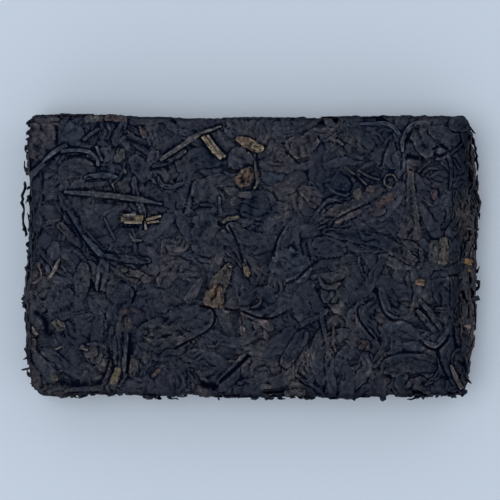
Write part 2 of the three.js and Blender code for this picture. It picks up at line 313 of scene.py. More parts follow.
    "corner stalk": ("stalk", STRAW, (4.5, 6.5, 6), [(452, 365), (458, 377), (465, 390)]),
    "square chip": ("chip", OCHRE, 9, [(415, 282), (425, 283)]),
    "red chip": ("chip", RUST, 12, [(358, 347), (370, 345)]),
    "olive oblong": ("chip", MOSS, 13, [(445, 237), (442, 266)]),
    "dark olive oblong": ("chip", OLIVE, 11, [(435, 240), (433, 264)]),
    "chip by the olive stalk": ("chip", MOSS, 11, [(355, 189), (362, 201)]),
    "brown chip beside": ("chip", RUST, 8, [(366, 190), (375, 189)]),
    "orange chip": ("chip", RUST, (8, 11, 8), [(375, 206), (384, 201), (394, 195)]),
    "orange chip's middle": ("chip", RUST, 4, [(377, 205), (386, 202)]),
    "small orange chip": ("chip", RUST, 7, [(435, 189), (434, 200)]),
    "edge strip, olive": ("chip", OLIVE, 8, [(84, 119), (104, 118)]),
    "edge strip, red": ("chip", RUST, 7, [(104, 118), (127, 118)]),
    "red strip": ("chip", RUST, 6, [(140, 124), (145, 138)]),
    "olive leaf by the ribbon": ("chip", OLIVE, 11, [(122, 148), (117, 163)]),
    "pink sliver": ("chip", TAN, 2.6, [(112, 183), (115, 192)]),
    "pale flake": ("chip", TAN, 3.5, [(124, 169), (126, 174)]),
    "small curve": ("chip", TAN, 3.4, [(129, 233), (134, 240), (143, 240)]),
    "red cluster": ("chip", RUST, 7, [(119, 313), (131, 311)]),
    "red cluster's end": ("chip", RUST, 5, [(130, 309), (141, 313)]),
    "tan wedge": ("chip", STRAW, (7, 4), [(80, 346), (88, 351)]),
    "strap's top": ("chip", OAK, 9, [(127, 316), (129, 332)]),
    "strap's golden end": ("chip", GOLD, 9, [(118, 367), (116, 377), (111, 386)]),
    "olive spot": ("chip", OLIVE, 11, [(135, 359), (131, 377)]),
    "olive patch at the low left": ("chip", MOSS, 11, [(54, 320), (63, 331)]),
    "olive sliver by the large leaf": ("chip", OLIVE, 4, [(143, 337), (153, 342)]),
    "amber strip": ("chip", AMBER, 5, [(151, 377), (161, 369)]),
    "left edge strip": ("chip", STRAW, 5, [(31, 323), (40, 335)]),
    "left edge chip": ("chip", UMBER, 10, [(36, 338), (36, 353)]),
    "thin tan line": ("chip", STRAW, 2.6, [(55, 350), (64, 346)]),
    "low left spot": ("chip", MOSS, 8, [(51, 378), (58, 378)]),
    "brown edge chip": ("chip", TAN, 6, [(260, 386), (272, 386)]),
    "fuzzy edge chip": ("chip", TAN, 7, [(284, 393), (306, 392)]),
    "pale tip": ("chip", STRAW, 6, [(242, 326), (244, 336)]),
    "tail's tip": ("chip", TAN, 4, [(374, 368), (382, 358)]),
    "yellow spot": ("chip", OLIVE, 5, [(120, 270), (128, 270)]),
}

# Strands that stand out of the walls: colour, width in photo pixels, heights of both ends, and path
EDGE_STRANDS = {
    "loose strip at the left": (UMBER, 6, (18, 14), [(28, 182), (22, 198), (24, 208), (21, 225), (25, 236)]),
    "thin strip at the left": (SLATE, 2.6, (15, 13), [(28, 213), (27, 232), (31, 242)]),
    "left spike": (UMBER, 3.0, (24, 22), [(38, 366), (31, 368), (24, 369)]),
    "small left spike": (SLATE, 2.0, (22, 20), [(34, 354), (26, 360)]),
    "hair at the upper right": (INK, 1.6, (25, 21), [(465, 121), (470, 127), (473, 134)]),
    "hair at the low right": (INK, 2.0, (24, 20), [(466, 374), (473, 384)]),
    "strip down the right end": (RUST, 4.0, (25, 22), [(464, 120), (468, 140)]),
    "band down the right end": (RUST, 5.0, (23, 21), [(469, 150), (473, 170), (472, 190)]),
    "brown leaf on the right end": (UMBER, 8.0, (24, 23), [(464, 190), (466, 208), (465, 224)]),
    "orange edge chip": (FLAME, 9.0, (24, 22), [(465, 261), (474, 262)]),
    "orange edge speck": (FLAME, 4.0, (22, 21), [(469, 269), (474, 271)]),
    "pink edge chip": (BLUSH, 6.0, (24, 22), [(463, 328), (472, 327)]),
    "brown strip at the low right": (UMBER, 5.0, (23, 22), [(469, 333), (467, 346), (462, 360)]),
    "loose strip at the right": (UMBER, 6.0, (15, 12), [(474, 184), (479, 198), (478, 212), (474, 228)]),
    "pink strip at the right": (TAN, 2.6, (24, 21), [(463, 227), (474, 229)]),
    "low strip at the right": (SLATE, 3.0, (17, 14), [(474, 300), (476, 318), (472, 332)]),
    "fringe at the low edge": (INK, 2.4, (23, 20), [(218, 396), (219, 401)]),
}

# Clefts between the leaves, sunk in and painted dark as shade: width in photo pixels, depth in millimetres,
# and path
CLEFTS = {
    "low edge cleft": (3.6, 1.6, [(221, 381), (236, 368), (248, 356)]),
    "corner gap at the low left": (8, 0.8, [(62, 383), (80, 385), (100, 384)]),
    "strap's right side": (3, 1.2, [(130, 336), (129, 352), (127, 372)]),
    "hook's outside": (2, 1.2, [(374, 298), (360, 306), (358, 316), (366, 329), (374, 338)]),
    "under the olive stalk": (3, 1.4, [(355, 176), (364, 186)]),
    "brown strip's lower side": (1.6, 0.8, [(326, 225), (350, 212), (370, 203)]),
    "corner leaf's side": (2, 1.2, [(56, 126), (57, 142)]),
    "corner leaf's foot": (2.4, 1.2, [(47, 163), (58, 153)]),
    "arch's inside": (2, 1.0, [(68, 156), (82, 156), (94, 162)]),
    "pit by the fork": (5, 1.4, [(410, 156), (418, 158)]),
    "right edge hollow": (5, 1.2, [(457, 328), (459, 346)]),
    "golden block's shadow": (2, 1.0, [(122, 227), (140, 227)]),
    "small middle leaf's side": (2, 1.0, [(229, 226), (236, 240), (243, 262)]),
    "fan's left side": (1.6, 0.9, [(286, 224), (277, 240), (274, 256)]),
    "fan's right side": (2, 1.0, [(306, 244), (311, 258), (318, 262)]),
    "hollow by the smooth pair": (3, 1.0, [(434, 149), (441, 146), (447, 150), (441, 156), (435, 153)]),
    "large leaf's end": (
        2, 1.0, [(200, 306), (212, 309), (215, 318), (211, 328), (199, 336), (187, 342), (176, 348)],
    ),
    "left middle leaf's side": (1.8, 0.9, [(192, 182), (188, 196), (184, 211)]),
    "fan's foot": (2.4, 1.0, [(313, 264), (305, 271), (297, 279), (288, 283)]),
    "brown triangle's left side": (2, 1.0, [(283, 143), (286, 150), (292, 157), (299, 163)]),
    "brown triangle's right side": (1.6, 0.8, [(318, 136), (322, 142), (326, 149)]),
    "round dark leaf's right side": (2, 1.0, [(340, 172), (348, 177), (352, 184), (350, 192)]),
    "loop's outside": (2, 1.0, [(377, 288), (379, 300), (384, 313), (394, 321)]),
    "scoop's lower side": (2, 1.0, [(419, 340), (428, 348), (438, 349), (448, 340)]),
    "wrinkled leaf's upper side": (1.6, 0.8, [(384, 358), (400, 353), (420, 353)]),
    "right corner leaf's left side": (2, 1.0, [(438, 349), (441, 364), (448, 378), (454, 387)]),
    "long leaf's lower side": (2, 1.0, [(66, 212), (74, 226), (84, 241), (92, 251)]),
    "hollow by the ribbon": (6, 0.7, [(128, 140), (138, 143), (148, 148)]),
    "ring leaf's right side": (2, 1.0, [(122, 281), (131, 286), (135, 293), (132, 303)]),
    "slim finger's left side": (2, 1.0, [(101, 274), (99, 290)]),
    "hollow at the low left": (5, 1.0, [(40, 313), (47, 322), (48, 334)]),
    "low middle leaf's lower side": (2.2, 1.0, [(225, 309), (243, 312), (259, 318), (273, 318), (287, 312)]),
    "low edge hollow": (7, 2.0, [(204, 385), (214, 387)]),
    "tall triangle's left side": (1.6, 0.9, [(389, 141), (384, 154), (380, 168)]),
    "tall triangle's right side": (1.6, 0.9, [(402, 154), (401, 168)]),
    "smooth pair's lower side": (1.6, 0.9, [(412, 141), (416, 151), (425, 159)]),
}


def on_photo(pixels):
    """Places on the top face for pixels of the photograph."""
    pixels = np.asarray(pixels, float)
    return (pixels - PHOTO_MIDDLE) * (1, -1) / PIXELS_A_MM


# Places on the brick


def past_middle(x, y):
    """The nearest place on the rectangle inside the round corners, the way out from it, and how far."""
    inner_x = np.clip(x, -REACH_X, REACH_X)
    inner_y = np.clip(y, -REACH_Y, REACH_Y)
    distance = np.hypot(x - inner_x, y - inner_y)
    far = np.maximum(distance, 1e-9)
    return inner_x, inner_y, (x - inner_x) / far, (y - inner_y) / far, distance


def swelling(x, y, out_x, out_y, z):
    """How far a wall stands out of the mould's outline: most in its middle, not at all at the rims."""
    up = np.clip((z - FLOOR - RIM_RADIUS) / (TOP - FLOOR - 2 * RIM_RADIUS), 0, 1)
    end = END_BULGE * out_x**2 * (1 - (2 * y / MOULD_WIDTH) ** 2)
    side = SIDE_BULGE * out_y**2 * (1 - (2 * x / MOULD_LENGTH) ** 2)
    return np.sin(math.pi * up) * np.maximum(end + side, 0)


def on_top(x, y, height):
    """A place on the top face, bent down over the rim where it runs past the flat."""
    inner_x, inner_y, out_x, out_y, distance = past_middle(x, y)
    past = distance - RIM_FLAT
    turn = np.clip(past / RIM_RADIUS, 0, QUARTER)
    drop = np.maximum(0, past - RIM_RADIUS * QUARTER)
    radius = RIM_RADIUS + height - DEPTH
    z = TOP - RIM_RADIUS + radius * np.cos(turn) - drop
    bent = RIM_FLAT + radius * np.sin(turn) + swelling(x, y, out_x, out_y, z)
    reach = np.where(past > 0, bent, distance)
    return np.stack([inner_x + out_x * reach, inner_y + out_y * reach, z], axis=-1)


def on_underside(x, y, height):
    """The same below: the top face turned over about the brick's width."""
    return on_top(x, y, height) * (-1, 1, -1) + (0, 0, TOP + FLOOR)


def broken_edge(points):
    """Points moved as the brick's edge is broken: a torn outline, a knocked corner, a leaning right end."""
    x, y, z = np.moveaxis(points, -1, 0)
    near_x = np.clip((np.abs(x) - MOULD_LENGTH / 2 + TEAR_ZONE) / TEAR_ZONE, 0, 1)
    near_y = np.clip((np.abs(y) - MOULD_WIDTH / 2 + TEAR_ZONE) / TEAR_ZONE, 0, 1)
    across, down = PHOTO_MIDDLE[0] + PIXELS_A_MM * x, PHOTO_MIDDLE[1] - PIXELS_A_MM * y
    push_x = np.where(x > 0, pushed_in("right", down), pushed_in("left", down))
    push_y = np.where(y > 0, pushed_in("back", across), pushed_in("front", across))
    moved_x = x + np.sign(x) * near_x * (ripple(y, z) - push_x)
    torn_y = np.where(y > 0, BACK_TORN, 1) * ripple(x + TEARS_APART, z)
    moved_y = y + np.sign(y) * near_y * (torn_y - push_y)
    past_cut = -moved_x - moved_y - KNOCKED_CORNER + CUT_WAVE * np.sin(1.7 * (x - y) + z)
    knocked = np.maximum(past_cut, 0) * np.clip((z - FLOOR) / (TOP - FLOOR), 0, 1)
    drop = WORN_DROP * worn_share(x) ** 2 * upper_share(z)
    return np.stack([moved_x + knocked / 2 + lean(x, y, z), moved_y + knocked / 2, z - drop], axis=-1)


def torn_line():
    """Places along a side, at uneven steps, and how far the torn edge stands out there."""
    draw = np.random.default_rng(14)
    places = TEARS_FROM + np.cumsum(draw.uniform(*TEAR_STEPS, TEAR_COUNT))
    return places, np.clip(TEAR_SIZE * (draw.gamma(0.8, 1.0, TEAR_COUNT) - 0.8), *TEAR_LIMITS)


TEARS = torn_line()


def pushed_in(side, pixels):
    """How far a side is pushed in, at places along it."""
    return np.interp(pixels, *np.transpose(PUSHED_IN[side]))


def ripple(place, z):
    """The ragged line of torn leaf edges along a side."""
    slow = 0.14 * np.sin(place / 2.9 + z / 4) + 0.2 * np.sin(place / 5.3 + 2)
    return slow + np.interp(place + 0.4 * np.sin(z / 3), *TEARS)


def upper_share(z):
    """None up to half the brick's height, and one at its top."""
    return np.clip(2 * (z - FLOOR) / (TOP - FLOOR) - 1, 0, 1)


def lean(x, y, z):
    """How far the right end leans out below and back above, between its corners."""
    between_corners = np.clip(1 - (2 * y / MOULD_WIDTH) ** 4, 0, 1)
    return worn_share(x) * between_corners * (LEAN_OUT - (LEAN_OUT + WORN_BACK) * upper_share(z) ** 1.3)


def mould_outline():
    """Distances round the mould from its right front corner, with the places there and the ways out."""
    rows = []
    for corner in range(4):
        middle_x = REACH_X if corner in (0, 1) else -REACH_X
        middle_y = REACH_Y if corner in (1, 2) else -REACH_Y
        for turn in np.linspace(-QUARTER, 0, CORNER_STEPS) + corner * QUARTER:
            out = np.array([math.cos(turn), math.sin(turn)])
            rows.append([*((middle_x, middle_y) + CORNER_RADIUS * out), *out])
    rows = np.array(rows + rows[:1])
    steps = np.hypot(*np.diff(rows[:, :2], axis=0).T)
    return np.concatenate([[0], np.cumsum(steps)]), rows


ROUND, OUTLINE = mould_outline()
PERIMETER = ROUND[-1]


def round_mould(distance):
    """Places at distances round the mould, as x and y, and the ways out of the walls there."""
    return [np.interp(np.mod(distance, PERIMETER), ROUND, column) for column in OUTLINE.T]


FINE_ROUND = np.linspace(0, PERIMETER, FINE_STEPS, endpoint=False)
FINE_OUTLINE = np.stack(round_mould(FINE_ROUND)[:2], axis=1)


def nearest_on_mould(places):
    """Which of the close points round the mould is nearest to each place."""
    away = places[:, None] - FINE_OUTLINE[None]
    return np.argmin(np.hypot(*away.transpose(2, 0, 1)), axis=1)


def on_wall(distance, z, height):
    """A place on the walls, by the distance round the mould and the height, bent inwards over both rims."""
    x, y, out_x, out_y = round_mould(distance)
    level = np.clip(z, FLOOR + RIM_RADIUS, TOP - RIM_RADIUS)
    past = np.abs(z - level)
    turn = np.clip(past / RIM_RADIUS, 0, QUARTER)
    inward = RIM_RADIUS + np.maximum(0, past - RIM_RADIUS * QUARTER)
    radius = RIM_RADIUS + height - DEPTH - WALL_SETBACK
    reach = radius * np.cos(turn) - inward + swelling(x, y, out_x, out_y, z)
    up = level + np.sign(z - level) * radius * np.sin(turn)
    return np.stack([x + out_x * reach, y + out_y * reach, up], axis=-1)


def kept_on_face(x, y):
    """Leaves that run off a face are crushed against the mould a little way past its rim."""
    inner_x, inner_y, out_x, out_y, distance = past_middle(x, y)
    free, room = RIM_FLAT + 0.8, 2.6
    over = np.maximum(distance - free, 0)
    reach = np.where(over > 0, free + room * (1 - np.exp(-over / room)), distance)
    return inner_x + out_x * reach, inner_y + out_y * reach


def over_rim(x, y):
    """How far places of a face lie over its rim: none on the flat, wholly on the wall below."""
    return np.clip((past_middle(x, y)[-1] - RIM_FLAT) / RIM_RADIUS, 0, 1)


def worn_share(x):
    """How worn a place is by its distance from the right end."""
    return np.clip((x - WORN_FROM) / WORN_LENGTH, 0, 1)


def past_rim(x, y):
    """How far places of the top face lie over its rim, down the worn right end or on the worn front rim."""
    front = FRONT_WORN * np.clip((FRONT_WORN_FROM - MOULD_WIDTH / 2 - y) / FRONT_WORN_LENGTH, 0, 1)
    return np.maximum(np.maximum(over_rim(x, y), worn_share(x)), front)


def all_outer(distance, z):
    """Every place of a wall is on the outside."""
    return np.ones(np.shape(z))


def kept_on_wall(distance, z):
    """Leaves that run off a wall are crushed against the plates."""
    low, high, room = FLOOR + 1.6, TOP - 1.6, 1.2
    over = np.maximum(z - high, 0) - np.maximum(low - z, 0)
    return distance, np.clip(z, low, high) + np.sign(over) * room * (1 - np.exp(-np.abs(over) / room))


# Leaves


# Forms of leaf: its ends as shares of its width, drawn to a tip and torn, how ragged its edge is, its
# thickness, how far it lifts off what lies below and how often that is softened under it, whether it is
# stiff, and its steps across as a share of those along. A leaf given several widths has other ends.
FORM_COLUMNS = ("ends", "ragged", "thick", "lift", "soft", "stiff", "fine")
FORM_ROWS = {
    "broad": ((0.12, 0.45), 0.05, 0.30, 0.15, 7, False, 0.75),
    "smooth": ((0.10, 0.45), 0.09, 0.30, 0.15, 7, False, 0.85),
    "folded": ((0.20, 0.45), 0.10, 0.30, 0.12, 6, False, 0.6),
    "curled": ((0.15, 0.45), 0.20, 0.28, 0.05, 6, True, 0.5),
    "strip": ((0.08, 0.35), 0.13, 0.18, 0.03, 6, False, 0.5),
    "stalk": ((0.75, 0.85), 0.04, 0.25, 0.05, 10, True, 0.5),
    "chip": ((0.12, 0.50), 0.11, 0.12, 0.03, 5, False, 0.6),
}
FORMS = {name: SimpleNamespace(**dict(zip(FORM_COLUMNS, row))) for name, row in FORM_ROWS.items()}
TAPERED_ENDS = (0.45, 0.6)

# The narrow cells along a leaf's edge, the steps between two points of its path, and the grids it has
RIM_CELL = 0.14
CURVE_STEPS = 14
GRIDS = ("a", "b", "u", "v", "along", "across", "fold", "raw", "height", "wear", "bright")


def rimmed(length, step):
    """Shares of a length, in an even number of steps, with a narrow one at each end for the leaf's edge."""
    count = max(4, 2 * round(length / step / 2))
    rim = min(RIM_CELL / length, 0.12)
    return np.concatenate([[0], np.linspace(rim, 1 - rim, count - 1), [1]])


def smooth_curve(points):
    """A smooth curve through a few points, as many close points."""
    points = np.asarray(points, float)
    knots = np.vstack([2 * points[0] - points[1], points, 2 * points[-1] - points[-2]])
    t = np.linspace(0, 1, CURVE_STEPS, endpoint=False)[:, None]
    runs = []
    for before, start, end, after in zip(knots, knots[1:], knots[2:], knots[3:]):
        bend = 2 * before - 5 * start + 4 * end - after
        twist = 3 * start - before - 3 * end + after
        runs.append(start + ((end - before) * t + bend * t**2 + twist * t**3) / 2)
    return np.vstack([*runs, points[-1:]])


def waves(place, draw, lengths):
    """A wandering line: waves of a few lengths added up, about one high."""
    parts = [np.cos(2 * math.pi * place / length + draw.uniform(0, 7)) for length in lengths]
    return sum(parts) / math.sqrt(len(parts))


def swells(leaf, draw, longest, shortest):
    """Soft folds that run mostly along a leaf, about one high, the long ones highest."""
    total = 0
    for length in np.geomspace(longest, shortest, 4):
        slant = draw.normal(0, 0.9)
        place = leaf.across * math.cos(slant) + leaf.along * math.sin(slant)
        bend = 0.25 * length * waves(leaf.along, draw, (1.9 * length, 3.3 * length))
        turn = 2 * math.pi * (place + bend) / length + draw.uniform(0, 7)
        total = total + (length / longest) ** 1.4 * np.cos(turn)
    return total / 1.5


def creases(leaf, draw, spacing, slant, depth, width=0.30):
    """Sharp narrow furrows, side by side, that come and go along their length."""
    place = leaf.across * math.cos(slant) + leaf.along * math.sin(slant)
    run = leaf.along * math.cos(slant) - leaf.across * math.sin(slant)
    bend = 0.5 * spacing * waves(run, draw, (3.1 * spacing, 6.7 * spacing))
    away = np.abs(np.sin(math.pi * (place + bend) / spacing + draw.uniform(0, 7))) * spacing / math.pi
    shows = np.clip(0.35 + 0.9 * waves(run + 1.9 * place, draw, (6.1 * spacing, 9.7 * spacing)), 0, 1)
    return -depth * shows * np.exp(-((away / width) ** 2))


def broad_relief(leaf, draw):
    """A flat leaf: folded and creased, with a sunken midrib and turned-down edges."""
    rib = np.exp(-((leaf.across / 0.35) ** 2)) * (1 - leaf.u)
    edge = np.clip((np.abs(leaf.v) - 0.75) / 0.25, 0, 1) ** 2
    size = np.clip(leaf.width / 8, 0.5, 1.1)
    return size * (0.45 * swells(leaf, draw, 7.0, 1.4) - 0.10 * edge) - 0.15 * rib


def round_back(leaf, draw, height, uneven):
    """A low dome across a leaf, as a share of its width, higher and lower along it."""
    swell = 0.8 + uneven * waves(leaf.along, draw, (3.7, 6.1, 11.0))
    return height * leaf.width * swell * np.clip(1 - np.abs(leaf.v) ** 3, 0, 1) ** 0.55


def curled_relief(leaf, draw):
    """A leaf rolled to a strip: a dome with creases that wind along it."""
    dome = round_back(leaf, draw, 0.20, 0.35)
    for _ in range(3):
        turns = draw.uniform(0.3, 1.3)
        middle = draw.uniform(-0.6, 0.6) + 0.3 * np.sin(2 * math.pi * leaf.u * turns + draw.uniform(0, 7))
        dome = dome - 0.12 * leaf.width * np.exp(-(((leaf.v - middle) / 0.15) ** 2))
    return dome + 0.14 * swells(leaf, draw, 4.0, 1.2)


def strip_relief(leaf, draw):
    """A narrow smooth strip: a low uneven dome with one groove that wanders along it."""
    middle = draw.uniform(-0.4, 0.4) + 0.25 * np.sin(2 * math.pi * leaf.u + draw.uniform(0, 7))
    groove = 0.06 * leaf.width * np.exp(-(((leaf.v - middle) / 0.18) ** 2))
    return round_back(leaf, draw, 0.13, 0.4) - groove + 0.14 * swells(leaf, draw, 4.0, 1.2)


def stalk_relief(leaf, draw):
    """A stalk: half round, finely ribbed along, with a few swellings."""
    ribs = 0.05 * np.cos(leaf.v * 11 + draw.uniform(0, 7)) + 0.04 * waves(leaf.along, draw, (2.3, 4.1, 6.7))
    return min(0.31 * leaf.width, 0.7) * np.clip(1 - leaf.v**2, 0, 1) ** 0.5 + ribs


def chip_relief(leaf, draw):
    """A flake: nearly flat, slightly dished and split along."""
    split = creases(leaf, draw, draw.uniform(1.4, 2.4), draw.normal(0, 0.2), 0.25, 0.25)
    return 0.08 * swells(leaf, draw, 3.0, 1.0) + 0.12 * (1 - leaf.v**2) + split


RELIEFS = {
    "broad": broad_relief,
    "smooth": broad_relief,
    "folded": broad_relief,
    "curled": curled_relief,
    "strip": strip_relief,
    "stalk": stalk_relief,
    "chip": chip_relief,
}

# Sharp folds of each form: spacing, slant from the leaf's own run with its spread, and depth. A leaf is
# crumpled by a share of them.
CRUMPLED = (0.3, 1.05)
FOLDS = {
    "broad": [((2.0, 3.6), (0.0, 0.15), 0.34), ((4.5, 8.0), (0.7, 0.5), 0.30)],
    "smooth": [((2.2, 4.0), (0.1, 0.3), 0.20), ((4.0, 7.0), (1.0, 0.5), 0.20)],
    "folded": [((1.7, 3.0), (0.0, 0.12), 0.40), ((4.5, 8.0), (0.8, 0.4), 0.28)],
    "curled": [((0.9, 1.6), (0.0, 0.12), 0.34), ((3.0, 6.0), (0.9, 0.4), 0.24)],
    "strip": [((1.0, 1.8), (0.0, 0.10), 0.18), ((3.0, 6.0), (0.9, 0.4), 0.18)],
    "stalk": [((0.6, 0.9), (0.0, 0.05), 0.10)],
    "chip": [((0.9, 1.6), (0.0, 0.25), 0.16), ((1.4, 2.6), (1.2, 0.4), 0.14)],
}


def folds(leaf, draw):
    """All the sharp folds of a leaf, the deepest where two cross. Some leaves are crumpled more."""
    total = 0
    for spacing, slant, depth in FOLDS[leaf.kind]:
        total = total + creases(leaf, draw, draw.uniform(*spacing), draw.normal(*slant), depth)
    return draw.uniform(*CRUMPLED) * total


def half_widths(u, length, widths, form, draw):
    """How wide a leaf is on its two sides: one end drawn to a tip, the other torn, and notches between."""
    width = np.interp(u, np.linspace(0, 1, len(widths)), widths)
    tip, torn = form.ends if len(widths) == 1 else TAPERED_ENDS
    first, last = (tip, torn) if draw.uniform() < 0.5 else (torn, tip)
    sides = []
    for _ in range(2):
        widest = draw.uniform(0.25, 0.75)
        off = np.abs(u - widest) / np.where(u < widest, widest, 1 - widest)
        end = np.where(u < widest, first, last)
        half = width / 2 * (end + (1 - end) * np.sqrt(np.clip(1 - off ** draw.uniform(1.3, 3.0), 0, 1)))
        edge = 1 + form.ragged * waves(u * length, draw, (1.3, 2.9, 6.3))
        notch = draw.uniform(0.15, 0.85) * length
        edge = edge - draw.uniform(0, 3) * form.ragged * np.exp(-(((u * length - notch) / 0.8) ** 2))
        sides.append(half * edge)
    return sides


def make_leaf(form_name, colour, widths, path, draw, step):
    """A leaf as a grid of places: rows run along its path and columns across it."""
    form = FORMS[form_name]
    curve = smooth_curve(path)
    lengths = np.concatenate([[0], np.cumsum(np.hypot(*np.diff(curve, axis=0).T))])
    widths = np.atleast_1d(np.asarray(widths, float))
    u = rimmed(lengths[-1], step)
    v = 2 * rimmed(widths.max(), step * form.fine) - 1
    x, y = (np.interp(u * lengths[-1], lengths, curve[:, i]) for i in (0, 1))
    way_x, way_y = np.gradient(x, u), np.gradient(y, u)
    speed = np.hypot(way_x, way_y)
    right, left = half_widths(u, lengths[-1], widths, form, draw)
    spread = np.where(v < 0, right[:, None], left[:, None]) * v
    leaf = SimpleNamespace(form=form, kind=form_name, colour=np.array(colour), width=widths.max())
    leaf.a = x[:, None] - (way_y / speed)[:, None] * spread
    leaf.b = y[:, None] + (way_x / speed)[:, None] * spread
    leaf.u = np.broadcast_to(u[:, None], spread.shape)
    leaf.v = np.broadcast_to(v, spread.shape)
    leaf.along = leaf.u * lengths[-1]
    leaf.across = spread
    leaf.relief = RELIEFS[form_name](leaf, draw)
    leaf.fold = folds(leaf, draw)
    leaf.bright = np.ones(spread.shape)
    leaf.seed = draw.uniform(0, 500)
    return leaf


def neighbours(grid, reach):
    """The grid shifted every way by up to a few cells, with its edges repeated."""
    padded = np.pad(grid, reach, mode="edge")
    rows, columns = grid.shape
    span = range(2 * reach + 1)
    return [padded[i : i + rows, j : j + columns] for i in span for j in span]


def softened(grid, times):
    """The grid with each place averaged with its neighbours, several times over."""
    for _ in range(times):
        padded = np.pad(grid, 1, mode="edge")
        grid = (padded[:-2] + 2 * padded[1:-1] + padded[2:]) / 4
        grid = (grid[:, :-2] + 2 * grid[:, 1:-1] + grid[:, 2:]) / 4
    return grid


def outer_ring(leaf, inset):
    """Places round a leaf's edge, or round its rim a few cells further in."""
    rows, columns = leaf.a.shape
    i, j = np.mgrid[0:rows, 0:columns]
    at_edge = (i == 0) | (i == rows - 1) | (j == 0) | (j == columns - 1)
    i, j = np.clip(i[at_edge], inset, rows - 1 - inset), np.clip(j[at_edge], inset, columns - 1 - inset)
    return np.stack([leaf.a[i, j], leaf.b[i, j]], axis=1)


